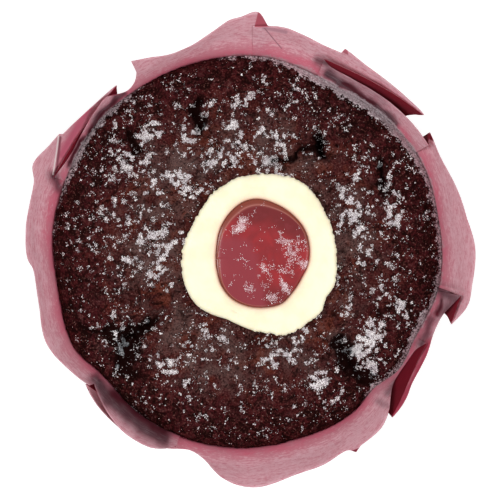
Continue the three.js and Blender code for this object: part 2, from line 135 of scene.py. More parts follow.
def lattice(x: Array, y: Array, z: Array, seed: int) -> Array:
    """Args:
        x, y, z: places, in steps of the lattice.
        seed: picks the pattern.

    Returns:
        Smooth random values from -1 to 1.
    """
    cell = [np.floor(axis) for axis in (x, y, z)]
    part = [axis - low for axis, low in zip((x, y, z), cell)]
    eased = [t * t * t * (t * (6 * t - 15) + 10) for t in part]
    whole = [low.astype(np.int64) for low in cell]
    total = np.zeros_like(x, dtype=float)
    for corner in range(8):
        step = [(corner >> axis) & 1 for axis in range(3)]
        key = sum((whole[a] + step[a]) * (73856093, 19349663, 83492791)[a] for a in range(3))
        key = (key + seed * 2654435761) & 0xFFFFFFFF
        key = ((key ^ (key >> 15)) * 2246822519) & 0xFFFFFFFF
        key = ((key ^ (key >> 13)) * 3266489917) & 0xFFFFFFFF
        value = ((key ^ (key >> 16)) & 0xFFFFFF) / 0x7FFFFF - 1
        weight = np.ones_like(total)
        for axis in range(3):
            weight = weight * (eased[axis] if step[axis] else 1 - eased[axis])
        total += weight * value
    return total


@dataclass(frozen=True)
class Noise:
    """Random values, mostly from -1 to 1 times the strength, for places in millimetres. The largest features
    have the given size, and each octave has half the size and half the strength of the one before it.
    """

    size: float
    octaves: int
    seed: int
    strength: float = 1.0

    def __call__(self, x: Array, y: Array, z: Array | float = 0.0) -> Array:
        """Args:
            x, y, z: places.

        Returns:
            The value at each.
        """
        z = np.broadcast_to(np.asarray(z, dtype=float), x.shape)
        total = np.zeros_like(x, dtype=float)
        for octave in range(self.octaves):
            scale = 2**octave / self.size
            total += lattice(x * scale, y * scale, z * scale, self.seed + octave) * 0.5**octave
        return self.strength * total


def off_bearing(bearing: Array, middle: float) -> Array:
    """Returns how many degrees each bearing lies from another, from -180 to 180."""
    return (bearing - middle + 180) % 360 - 180


def line_distance(x: Array, y: Array, line: Line) -> Array:
    """Args:
        x, y: places.
        line: corners of an open line.

    Returns:
        How far each place lies from the line.
    """
    nearest = np.full(x.shape, np.inf)
    for (ax, ay), (bx, by) in zip(line, line[1:]):
        run = np.array([bx - ax, by - ay])
        t = np.clip(((x - ax) * run[0] + (y - ay) * run[1]) / (run @ run), 0, 1)
        nearest = np.minimum(nearest, np.hypot(x - ax - t * run[0], y - ay - t * run[1]))
    return nearest


def heaped(x: Array, y: Array, spots: Spots) -> Array:
    """Args:
        x, y: places.
        spots: x, y, half width and strength of each.

    Returns:
        The strengths of the spots added up at each place.
    """
    return sum(strength * bell(np.hypot(x - sx, y - sy), half) for sx, sy, half, strength in spots)


# ---------- Meshes and materials ----------


def make_mesh(
    name: str, points: Array, faces: Sequence[Sequence[int]] | Array, marks: Mapping[str, Array] | None = None
) -> Object:
    """Args:
        name: of the object and its mesh.
        points: one row of x, y, z a point, in millimetres.
        faces: point numbers, outward faces anticlockwise.
        marks: values kept on the points for the materials.

    Returns:
        A smooth-shaded object at the origin.
    """
    mesh = bpy.data.meshes.new(name)
    mesh.from_pydata((points * MM).tolist(), [], [list(face) for face in faces])
    mesh.update()
    mesh.shade_smooth()
    for mark, values in (marks or {}).items():
        layer = mesh.attributes.new(mark, "FLOAT", "POINT")
        layer.data.foreach_set("value", np.ascontiguousarray(values, dtype=np.float32))
    made = bpy.data.objects.new(name, mesh)
    bpy.context.scene.collection.objects.link(made)
    return made


def flatten(made: Object) -> Object:
    """Makes an object's modified shape its own mesh and removes its modifiers."""
    bpy.context.view_layer.update()
    evaluated = made.evaluated_get(bpy.context.evaluated_depsgraph_get())
    mesh = bpy.data.meshes.new_from_object(evaluated)
    mesh.name = made.name
    made.modifiers.clear()
    made.data = mesh
    return made


def dress(made: Object, material: Material, slot: Slot, *nodes: str) -> Object:
    """Args:
        made: a finished piece.
        material: its finish.
        slot: the record's slot for it; not used.
        nodes: CAD nodes that it stands for.

    Returns:
        The piece, riding on the muffin.
    """
    made.data.materials.clear()
    made.data.materials.append(material)
    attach(made, "root")
    if nodes:
        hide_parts(*nodes)
    return made


def colour(value: str) -> tuple[float, float, float, float]:
    """Args:
        value: sRGB hex digits.

    Returns:
        The linear colour and an alpha of 1.
    """
    parts = [int(value[i : i + 2], 16) / 255 for i in (0, 2, 4)]
    linear = [part / 12.92 if part <= 0.04045 else ((part + 0.055) / 1.055) ** 2.4 for part in parts]
    return (linear[0], linear[1], linear[2], 1.0)


def add_node(
    tree: Tree, kind: str, inputs: Mapping[str | int, Any] | None = None, **settings: Any
) -> bpy.types.Node:
    """Args:
        tree: where the node goes.
        kind: its type name.
        inputs: a value, or a socket to link, for each input by name or number.
        settings: the node's own settings; stops are a colour ramp's (place, colour) pairs.

    Returns:
        The node.
    """
    node = tree.nodes.new(kind)
    for name, value in settings.items():
        if name == "stops":
            ramp = node.color_ramp.elements
            for _ in range(len(value) - len(ramp)):
                ramp.new(1.0)
            for element, (place, shade) in zip(ramp, value):
                element.position, element.color = place, shade
        else:
            setattr(node, name, value)
    for name, value in (inputs or {}).items():
        if isinstance(value, Socket):
            tree.links.new(value, node.inputs[name])
        else:
            node.inputs[name].default_value = value
    return node


def blank_material(name: str, *marks: str) -> tuple[Material, Tree, Socket, dict[str, Socket]]:
    """Args:
        name: of the real material.
        marks: values kept on the mesh's points that it reads.

    Returns:
        The material, its tree, the surface socket of its output and the socket of each mark.
    """
    material = bpy.data.materials.new(name)
    material.use_nodes = True
    tree = material.node_tree
    tree.nodes.clear()
    surface = add_node(tree, "ShaderNodeOutputMaterial").inputs["Surface"]
    read = {mark: add_node(tree, "ShaderNodeAttribute", attribute_name=mark).outputs["Fac"] for mark in marks}
    return material, tree, surface, read


def pattern(tree: Tree, size: float, detail: float, **inputs: Any) -> Socket:
    """Args:
        tree: where the pattern goes.
        size: of its features, in millimetres.
        detail: how many finer layers it has.
        inputs: other inputs of the noise.

    Returns:
        The pattern's value at each place on the object.
    """
    where = add_node(tree, "ShaderNodeTexCoord").outputs["Object"]
    given = {"Vector": where, "Scale": 1 / (size * MM), "Detail": detail, **inputs}
    return add_node(tree, "ShaderNodeTexNoise", given).outputs[0]


@dataclass(frozen=True)
class Coat:
    """A colour laid over others where a value says so: as thick as the value is, or, with a start, thickening
    from there to where it is full.
    """

    where: Socket
    shade: str | Socket
    start: float | None = None
    full: float = 1.0
    strength: float = 1.0


def coated(tree: Tree, body: str | Socket, *coats: Coat) -> Socket:
    """Args:
        tree: where the nodes go.
        body: the colour underneath.
        coats: from the first to the last.

    Returns:
        The colour with every coat laid over it.
    """
    for coat in coats:
        share = coat.where
        if coat.start is not None:
            share = add_node(tree, "ShaderNodeMapRange", {
                0: share, 1: coat.start, 2: coat.full, 4: coat.strength,
            }, interpolation_type="SMOOTHSTEP").outputs[0]
        under, over = (colour(shade) if isinstance(shade, str) else shade for shade in (body, coat.shade))
        body = add_node(tree, "ShaderNodeMix", {0: share, 6: under, 7: over}, data_type="RGBA").outputs[2]
    return body


# ---------- Finishes ----------


@dataclass(frozen=True)
class GreaseproofPaper:
    """Greaseproof paper dyed on its outer side: deep burgundy there, and a dusty, fibrous pink inside."""

    # The inner side's colours: pink, with painted shade rosier near the cake and painted light paler on the
    # free rim.
    pink: str = "d98998"
    shaded_rosy: str = "df788d"
    lit_pale: str = "efbfc9"
    outer: str = "700a1e"
    outer_worn: str = "8c1c32"
    # Painted shade in the pockets between layers, with grey fibres showing through it.
    pocket_shade: str = "56323c"
    # Painted dark red shadow down in the pockets.
    wine: str = "4e0c1d"
    sugar: str = "c9b6bc"
    light_through: str = "f3aebb"
    light_through_outer: str = "c24a66"
    sheen: str = "f3d5da"
    fibre: float = 0.2
    fibre_length: float = 2.2
    fibre_turn: float = 12.0
    through: float = 0.22
    # Corners of the rim that are turned over, with the dyed side's colour and painted shade on each, in
    # millimetres.
    turned: tuple[tuple[tuple[tuple[float, float], ...], str], ...] = (
        (((1.7, 48.9), (0.9, 45.8), (3.9, 45.9)), "bd5d6c"),
        (((-27.6, 34.0), (-27.0, 32.2), (-29.6, 31.6)), "8f2f45"),
        (((-34.0, -28.2), (-33.2, -28.8), (-34.0, -30.2)), "7d1f35"),
        (((21.7, -41.8), (20.0, -41.5), (22.7, -40.3)), "8a2c40"),
        (((37.2, 24.3), (38.3, 22.0), (36.4, 23.2)), "80182c"),
        (((19.8, 41.8), (17.9, 41.2), (20.2, 40.0)), "c06b7a"),
    )
    turned_blur: float = 0.08
    # Painted highlights and shade along folds, and rosier strips, the first on top: both ends, half width and
    # colour.
    painted_folds: tuple[tuple[float, float, float, float, float, str], ...] = (
        (-39.4, 23.4, -40.7, 15.6, 0.25, "fdeeee"), (-39.1, 23.2, -40.1, 15.6, 0.45, "8f5462"),
        (3.0, 45.6, 6.5, 41.7, 0.19, "a26a77"), (2.8, 45.7, 7.4, 44.8, 0.6, "c695a2"),
        (37.3, -19.2, 35.0, -24.6, 1.7, "b84a60"), (35.0, -24.6, 32.6, -29.2, 1.7, "b84a60"),
        (32.6, -29.2, 29.4, -33.8, 1.7, "b84a60"), (-33.4, 29.2, -39.0, 19.6, 1.7, "c4667c"),
    )
    # The share of its half width over which a fold has its full colour.
    fold_core: float = 0.1

    def line_gap(self, tree: Tree, ends: tuple[float, float, float, float]) -> Socket:
        """Args:
            tree: where the nodes go.
            ends: x and y of both.

        Returns:
            How far a place lies from the line, seen from above.
        """
        x0, y0, x1, y1 = ends
        run = np.array([x1 - x0, y1 - y0, 0.0]) * MM
        where = add_node(tree, "ShaderNodeTexCoord").outputs["Object"]
        flat = add_node(tree, "ShaderNodeVectorMath", {0: where, 1: (1, 1, 0)}, operation="MULTIPLY")
        away = add_node(tree, "ShaderNodeVectorMath", {
            0: flat.outputs[0], 1: (x0 * MM, y0 * MM, 0.0),
        }, operation="SUBTRACT").outputs[0]
        share = add_node(tree, "ShaderNodeVectorMath", {
            0: away, 1: tuple(run / (run @ run)),
        }, operation="DOT_PRODUCT").outputs["Value"]
        kept = add_node(tree, "ShaderNodeClamp", {"Value": share}).outputs[0]
        foot = add_node(tree, "ShaderNodeVectorMath", {0: tuple(run), "Scale": kept}, operation="SCALE")
        return add_node(tree, "ShaderNodeVectorMath", {
            0: away, 1: foot.outputs[0],
        }, operation="DISTANCE").outputs["Value"]

    def depth_inside(self, tree: Tree, corners: tuple[tuple[float, float], ...]) -> Socket:
        """Args:
            tree: where the nodes go.
            corners: of a triangle.

        Returns:
            How many millimetres a place lies inside the triangle, seen from above; less than 0 is outside.
        """
        where = add_node(tree, "ShaderNodeTexCoord").outputs["Object"]
        middle = np.mean(corners, axis=0)
        depth: Any = 1.0
        for (ax, ay), (bx, by) in zip(corners, (*corners[1:], corners[0])):
            normal = np.array([ay - by, bx - ax]) / math.hypot(bx - ax, by - ay)
            normal *= np.sign((middle - (ax, ay)) @ normal)
            along = add_node(tree, "ShaderNodeVectorMath", {
                0: where, 1: (*(normal / MM), 0.0),
            }, operation="DOT_PRODUCT").outputs["Value"]
            inward = add_node(tree, "ShaderNodeMath", {
                0: along, 1: float(normal @ (ax, ay)),
            }, operation="SUBTRACT").outputs[0]
            depth = add_node(tree, "ShaderNodeMath", {0: depth, 1: inward}, operation="MINIMUM").outputs[0]
        return depth

    def material(self) -> Material:
        """Returns the paper's material."""
        material, tree, surface, marks = blank_material(
            "greaseproof_paper", "free", "dust", "outside", "stain", "wine",
        )
        sheet = add_node(tree, "ShaderNodeUVMap", uv_map="sheet").outputs[0]
        along = add_node(tree, "ShaderNodeMapping", {
            "Vector": sheet, "Rotation": (0, 0, math.radians(self.fibre_turn)),
            "Scale": (1 / (self.fibre_length * MM), 1 / (self.fibre * MM), 1),
        }).outputs[0]
        # Real fibres, about 0.02 mm wide, can't show, so they are drawn as matted strands of 0.2 mm.
        fibres = add_node(tree, "ShaderNodeTexNoise", {
            "Vector": along, "Scale": 1.0, "Detail": 4.0, "Roughness": 0.65, "Distortion": 0.8,
        }).outputs[0]
        # Painted light and shade: the inner side is painted rosier and darker near the cake, for the shade
        # there, and its fibres paler towards the free edge, for the light on the rim.
        clouds = pattern(tree, 5.0, 4.0, Roughness=0.6)
        away = add_node(tree, "ShaderNodeMath", {
            0: marks["free"], 1: 0.5, 2: clouds,
        }, operation="MULTIPLY_ADD").outputs[0]
        spread = add_node(tree, "ShaderNodeMapRange", {
            0: marks["free"], 3: 0.8, 4: 1.32,
        }, interpolation_type="SMOOTHSTEP").outputs[0]
        paling = add_node(tree, "ShaderNodeMath", {
            0: fibres, 1: spread, 2: -0.5,
        }, operation="MULTIPLY_ADD").outputs[0]
        mottle = pattern(tree, 0.7, 4.0, Roughness=0.75)
        paling = add_node(tree, "ShaderNodeMath", {
            0: mottle, 1: 0.7, 2: paling,
        }, operation="MULTIPLY_ADD").outputs[0]
        # Fibres show grey through the painted shade in the pockets.
        pocket_fibres = add_node(tree, "ShaderNodeMath", {
            0: marks["stain"], 1: fibres,
        }, operation="MULTIPLY").outputs[0]
        grit = pattern(tree, 0.5, 4.0, Roughness=0.7)
        powder = add_node(tree, "ShaderNodeMath", {
            0: grit, 1: 1.6, 2: marks["dust"],
        }, operation="MULTIPLY_ADD").outputs[0]
        folded = [
            Coat(self.line_gap(tree, (x0, y0, x1, y1)), shade, half * MM, self.fold_core * half * MM)
            for x0, y0, x1, y1, half, shade in reversed(self.painted_folds)
        ]
        corners = [
            Coat(self.depth_inside(tree, triangle), shade, start=-self.turned_blur, full=self.turned_blur)
            for triangle, shade in self.turned
        ]
        inner = coated(
            tree, self.shaded_rosy,
            Coat(away, self.pink, start=0.5, full=0.78),
            Coat(paling, self.lit_pale, start=0.32, full=0.6),
            Coat(marks["stain"], self.pocket_shade),
            Coat(pocket_fibres, self.sugar, start=0.42, full=0.75, strength=0.5),
            Coat(marks["wine"], self.wine),
            *folded,
            Coat(powder, self.sugar, start=1.1, full=1.7, strength=0.9),
            *corners,
        )
        outer = coated(tree, self.outer, Coat(fibres, self.outer_worn, start=0.5, full=0.75, strength=0.5))
        bump = add_node(tree, "ShaderNodeBump", {"Height": fibres, "Strength": 0.3, "Distance": 0.1 * MM})
        front = add_node(tree, "ShaderNodeBsdfPrincipled", {
            "Base Color": coated(tree, inner, Coat(marks["outside"], outer)), "Roughness": 0.8,
            "Specular IOR Level": 0.15, "Normal": bump.outputs[0],
            "Sheen Weight": 0.06, "Sheen Roughness": 0.5, "Sheen Tint": colour(self.sheen),
        })
        glow = coated(tree, self.light_through, Coat(marks["outside"], self.light_through_outer))
        back = add_node(tree, "ShaderNodeBsdfTranslucent", {"Color": glow})
        both = add_node(tree, "ShaderNodeMixShader", {
            0: self.through, 1: front.outputs[0], 2: back.outputs[0],
        })
        tree.links.new(both.outputs[0], surface)
        return material


@dataclass(frozen=True)
class ChocolateCrust:
    """Baked cocoa crumb: matt and mottled under a film of sugar dust, with painted shade nearly black in its
    cracks and deep red towards its edge.
    """

    # Painted shade and reddish reflected light from the paper: the crust darkens to deep red towards its
    # edge.
    rim: str = "421318"
    crumb: str = "421b1a"
    warm: str = "642e21"
    grey: str = "47302e"
    fleck: str = "7c4d45"
    # Near-black crumb: the colour of dark blotches and specks, and painted shade in the crags, pores and
    # veins.
    moist_and_shaded: str = "170504"
    haze: str = "5e4744"
    powder: str = "968688"
    dust: str = "af9da2"
    grain: str = "e0d5d8"
    # Sugar down in the crags, painted grey for the shade there, with paler flakes.
    ash: str = "4d5053"
    flake: str = "b0b1b5"

    def material(self) -> Material:
        """Returns the crust's material."""
        material, tree, surface, marks = blank_material(
            "chocolate_crumb", "edge", "crag", "haze", "warm", "powder", "dust", "ash",
        )
        patches = pattern(tree, 5.0, 4.0, Roughness=0.6, Distortion=0.8)
        coarse = pattern(tree, 1.3, 5.0, Roughness=0.72, Distortion=0.5)
        fine = pattern(tree, 0.4, 3.0, Roughness=0.75)
        blotch = pattern(tree, 2.6, 4.0, Roughness=0.65, Distortion=1.2)
        baked = add_node(tree, "ShaderNodeMapRange", {
            0: patches, 1: 0.5, 2: 0.66, 4: 0.8,
        }, interpolation_type="SMOOTHSTEP").outputs[0]
        warm = add_node(tree, "ShaderNodeMath", {0: baked, 1: marks["warm"]}, operation="MAXIMUM").outputs[0]
        # Fewer dark blotches towards the middle, more towards the edge.
        outward = add_node(tree, "ShaderNodeMapRange", {
            0: marks["edge"], 1: 0.6, 2: 0.95, 3: 0.03, 4: -0.05,
        }, interpolation_type="SMOOTHSTEP").outputs[0]
        deep, deeper, film, dusted = (
            add_node(tree, "ShaderNodeMath", {0: first, 1: second}, operation="ADD").outputs[0]
            for first, second in (
                (blotch, outward), (coarse, outward), (marks["haze"], fine), (marks["powder"], fine),
            )
        )
        gritty, flaky = (
            add_node(tree, "ShaderNodeMath", {0: noise, 1: by, 2: base}, operation="MULTIPLY_ADD").outputs[0]
            for noise, by, base in ((fine, 2.0, marks["dust"]), (coarse, 1.5, marks["ash"]))
        )
        heap = coated(tree, self.dust, Coat(fine, self.grain, start=0.5, full=0.62))
        ash = coated(tree, self.ash, Coat(fine, self.flake, start=0.42, full=0.6))
        body = coated(
            tree, self.crumb,
            Coat(patches, self.grey, start=0.48, full=0.36, strength=0.8),
            Coat(warm, self.warm),
            # Painted shade towards the edge.
            Coat(marks["edge"], self.rim, start=0.5, full=0.9, strength=0.85),
            Coat(coarse, self.haze, start=0.55, full=0.7, strength=0.42),
            Coat(deep, self.moist_and_shaded, start=0.49, full=0.37, strength=0.85),
            Coat(deeper, self.moist_and_shaded, start=0.49, full=0.37, strength=0.85),
            Coat(film, self.haze, start=0.6, full=1.15, strength=0.9),
            Coat(fine, self.fleck, start=0.56, full=0.67, strength=0.65),
            Coat(fine, self.moist_and_shaded, start=0.46, full=0.37, strength=0.9),
            # Painted shade in the crags, pores and veins.
            Coat(marks["crag"], self.moist_and_shaded),
            Coat(dusted, self.powder, start=0.7, full=1.3, strength=0.8),
            Coat(gritty, heap, start=1.3, full=1.7, strength=0.95),
            Coat(flaky, ash, start=1.12, full=1.32, strength=0.92),
        )
        rough = add_node(tree, "ShaderNodeMapRange", {
            0: fine, 1: 0.3, 2: 0.7, 3: 0.65, 4: 0.9,
        }, interpolation_type="SMOOTHSTEP").outputs[0]
        bump = add_node(tree, "ShaderNodeBump", {"Height": fine, "Strength": 0.7, "Distance": 0.25 * MM})
        bump = add_node(tree, "ShaderNodeBump", {
            "Height": coarse, "Strength": 0.7, "Distance": 0.6 * MM, "Normal": bump.outputs[0],
        })
        shader = add_node(tree, "ShaderNodeBsdfPrincipled", {
            "Base Color": body, "Roughness": rough, "Specular IOR Level": 0.03, "Normal": bump.outputs[0],
        })
        tree.links.new(shader.outputs[0], surface)
        return material


@dataclass(frozen=True)
class IcingSugar:
    """Icing sugar: tiny matt white grains, a little grey where they clump and pink where jam soaks them."""

    name: str
    light: str = "f8f4f4"
    shade: str = "ddd7db"
    soaked_and_shaded: str = "c8808a"
    stain: float = 0.0

    def material(self) -> Material:
        """Returns the sugar's material."""
        material, tree, surface, _ = blank_material(self.name)
        body = coated(tree, self.light, Coat(pattern(tree, 1.2, 3.0), self.shade, start=0.35, full=0.65))
        if self.stain:
            wet = pattern(tree, 0.7, 2.0)
            body = coated(tree, body, Coat(wet, self.soaked_and_shaded, start=0.35, full=0.65, strength=self.stain))
        shader = add_node(tree, "ShaderNodeBsdfPrincipled", {
            "Base Color": body, "Roughness": 0.85, "Specular IOR Level": 0.35,
        })
        tree.links.new(shader.outputs[0], surface)
        return material


@dataclass(frozen=True)
class SetCream:
    """Set vanilla cream: smooth, satin and dense, with jam bled into it where they meet."""

    ivory: str = "fbf5d6"
    shade: str = "f6eccb"
    bled: str = "efb49c"

    def material(self) -> Material:
        """Returns the cream's material."""
        material, tree, surface, marks = blank_material("vanilla_cream", "bleed")
        body = coated(
            tree, self.ivory,
            Coat(pattern(tree, 4.0, 3.0), self.shade, start=0.4, full=0.7),
            Coat(marks["bleed"], self.bled),
        )
        fine = pattern(tree, 0.9, 3.0)
        rough = add_node(tree, "ShaderNodeMapRange", {
            0: fine, 1: 0.3, 2: 0.7, 3: 0.38, 4: 0.52,
        }, interpolation_type="SMOOTHSTEP").outputs[0]
        bump = add_node(tree, "ShaderNodeBump", {"Height": fine, "Strength": 0.25, "Distance": 0.12 * MM})
        shader = add_node(tree, "ShaderNodeBsdfPrincipled", {
            "Base Color": body, "Roughness": rough, "Normal": bump.outputs[0],
            "Subsurface Weight": 0.25, "Subsurface Radius": (1.0, 0.8, 0.5), "Subsurface Scale": 1.2 * MM,
        })
        tree.links.new(shader.outputs[0], surface)
        return material


@dataclass(frozen=True)
class CherryJam:
    """Cherry jam: a wet, clear gel, deep red where it is thick and orange brown where it thins."""

    deep: str = "85171e"
    bright: str = "991a21"
    # Painted shade, darker at the top and the bottom of the dome.
    dusk: str = "6a0e14"
    # Painted soft reflection on the left of the dome, and in patches.
    veil: str = "8a2b36"
    thin: str = "7e3120"
    # Painted highlight along the bead at the clear margin's inner edge.
    line: str = "b87268"

    def material(self) -> Material:
        """Returns the jam's material."""
        material, tree, surface, marks = blank_material("cherry_jam", "thin", "line", "dusk", "veil")
        pulp = pattern(tree, 5.0, 4.0, Distortion=1.5)
        body = coated(
            tree, self.deep,
            Coat(pulp, self.bright, start=0.38, full=0.68),
            Coat(marks["dusk"], self.dusk),
            Coat(marks["veil"], self.veil),
            Coat(pattern(tree, 1.4, 4.0), self.veil, start=0.5, full=0.75, strength=0.3),
            Coat(marks["thin"], self.thin),
            Coat(marks["line"], self.line),
        )
        rough = add_node(tree, "ShaderNodeMapRange", {
            0: pulp, 1: 0.3, 2: 0.7, 3: 0.14, 4: 0.24,
        }, interpolation_type="SMOOTHSTEP").outputs[0]
        bump = add_node(tree, "ShaderNodeBump", {
            "Height": pattern(tree, 3.0, 2.0), "Strength": 0.2, "Distance": 0.3 * MM,
        })
        shader = add_node(tree, "ShaderNodeBsdfPrincipled", {
            "Base Color": body, "Roughness": rough, "IOR": 1.4,
            "Normal": bump.outputs[0], "Coat Weight": 0.4, "Coat Roughness": 0.08,
        })
        tree.links.new(shader.outputs[0], surface)
        return material


# ---------- Shapes shared by the case and the cake ----------

FOOT_RADIUS = 25.0
FOOT_CENTRE = np.array([-1.0, -0.6])
THROAT_HEIGHT = 47.0
SIDE_POWER = 0.85
FOOT_CHAMFER = 0.8
CLEARANCE = 0.15
TOPPING_CENTRE = (2.5, -0.9)

EDGE_RADIUS = RoundCurve([
    (0, 39.5), (11, 39.3), (23, 39.6), (35, 39.4), (47, 38.8), (60, 38.0), (72, 38.6), (85, 39.8),
    (103, 40.2), (120, 40.4), (140, 40.9), (157, 40.6), (174, 40.8), (191, 40.4), (209, 41.5),
    (221, 39.9), (235, 40.7), (247, 41.0), (264, 41.0), (284, 40.2), (302, 39.7), (312, 38.2),
    (321, 39.2), (333, 38.4), (348, 39.5),
])
CREAM_RADIUS = outline([
    (1.7, 15.6), (6.7, 15.4), (10.4, 14), (12.8, 12.1), (14.7, 9.2), (16.3, 6), (17.6, 1.4),
    (17.7, -2.5), (17.4, -7), (15.9, -9.6), (14.4, -12.9), (11, -15.6), (6.9, -17.5), (4, -17.2),
    (-4.2, -14.5), (-8.3, -13), (-10.8, -11.5), (-12.7, -8.8), (-13.9, -4.7), (-14.1, -1.6),
    (-13.2, 2.3), (-11.4, 6), (-9.1, 9.9), (-5.9, 13.1), (-2.8, 14.7),
], TOPPING_CENTRE)
JAM_RADIUS = outline([
    (1.5, 10.5), (5.4, 9.4), (9.1, 6.9), (11.1, 4.4), (12.2, 0.4), (11.9, -2.9), (10.6, -5.7),
    (8.6, -8.8), (6.4, -11), (3, -11.8), (-0.5, -11.5), (-3.8, -9.9), (-5.9, -7.2), (-6.8, -4.1),
    (-6.9, 0.4), (-5.9, 4.9), (-3.8, 8), (-1.3, 9.9),
], TOPPING_CENTRE)

# Where sugar lies along the cake's edge and on the paper beside it: bearing, half width and thickness.
RIM_DUST = (
    (16, 12, 0.55), (36, 14, 0.9), (54, 13, 1.0), (74, 12, 0.85), (92, 8, 0.35), (136, 10, 0.7),
    (153, 9, 0.75), (176, 10, 0.2), (0, 10, 0.5), (345, 10, 0.55), (333, 8, 0.6), (321, 7, 0.45),
    (312, 4, 0.5), (232, 11, 0.15),
)


def rim_dust(bearing: Array) -> Array:
    """Returns how thick the sugar lies beside the cake's edge at a bearing, from 0 to 1."""
    thick = sum(depth * bell(off_bearing(bearing, at), half) for at, half, depth in RIM_DUST)
    return np.clip(thick, 0.0, 1.0)


def around(bearing: Array, radius: Array, z: Array, centre: Any = (0.0, 0.0)) -> Array:
    """Args:
        bearing: degrees.
        radius: from the centre.
        z: heights.
        centre: x and y, or an array of them.

    Returns:
        One x, y, z a place, along the last axis.
    """
    angle = np.radians(bearing)
    centre = np.asarray(centre, dtype=float)
    x = centre[..., 0] + radius * np.cos(angle)
    y = centre[..., 1] + radius * np.sin(angle)
    return np.stack(np.broadcast_arrays(x, y, z), axis=-1).astype(float)


def grid_faces(rows: int, columns: int, closed: bool = True) -> Array:
    """Args:
        rows: how many rings.
        columns: points in each ring, anticlockwise.
        closed: whether each ring goes once round.

    Returns:
        Quads that face outward where the rings go up.
    """
    i = np.arange(columns if closed else columns - 1)
    j = (i + 1) % columns
    return np.concatenate([
        np.stack([r * columns + i, r * columns + j, (r + 1) * columns + j, (r + 1) * columns + i], axis=1)
        for r in range(rows - 1)
    ])


def disc_faces(start: Array) -> list[list[int]]:
    """Args:
        start: the number of each ring's first point, where ring k has 6 k points round a middle one, and of
            the point after them all.

    Returns:
        Triangles between the rings, facing up.
    """
    faces: list[list[int]] = []
    for k in range(len(start) - 2):
        for sixth in range(6):
            i = np.arange(k + 1)
            a = start[k] + ((sixth * k + i) % (6 * k) if k else 0 * i)
            a2 = start[k] + ((sixth * k + i + 1) % (6 * k) if k else 0 * i)
            b = start[k + 1] + (sixth * (k + 1) + i) % (6 * (k + 1))
            b2 = start[k + 1] + (sixth * (k + 1) + i + 1) % (6 * (k + 1))
            faces += np.stack([a, b, b2], axis=1).tolist()
            faces += np.stack([a[:-1], b2[:-1], a2[:-1]], axis=1).tolist()
    return faces


def loft(
    rings: Sequence[Array], first: Sequence[float], last: Sequence[float]
) -> tuple[Array, list[list[int]]]:
    """Args:
        rings: points of each ring, anticlockwise, from the bottom up and over.
        first, last: the poles under the first ring and in the last one.

    Returns:
        The points and faces of a closed body.
    """
    columns = len(rings[0])
    points = np.concatenate([*rings, [first], [last]])
    faces = grid_faces(len(rings), columns).tolist()
    low, high = len(points) - 2, len(points) - 1
    top = (len(rings) - 1) * columns
    for i in range(columns):
        j = (i + 1) % columns
        faces += [[low, j, i], [high, top + i, top + j]]
    return points, faces


# ---------- Icing sugar ----------


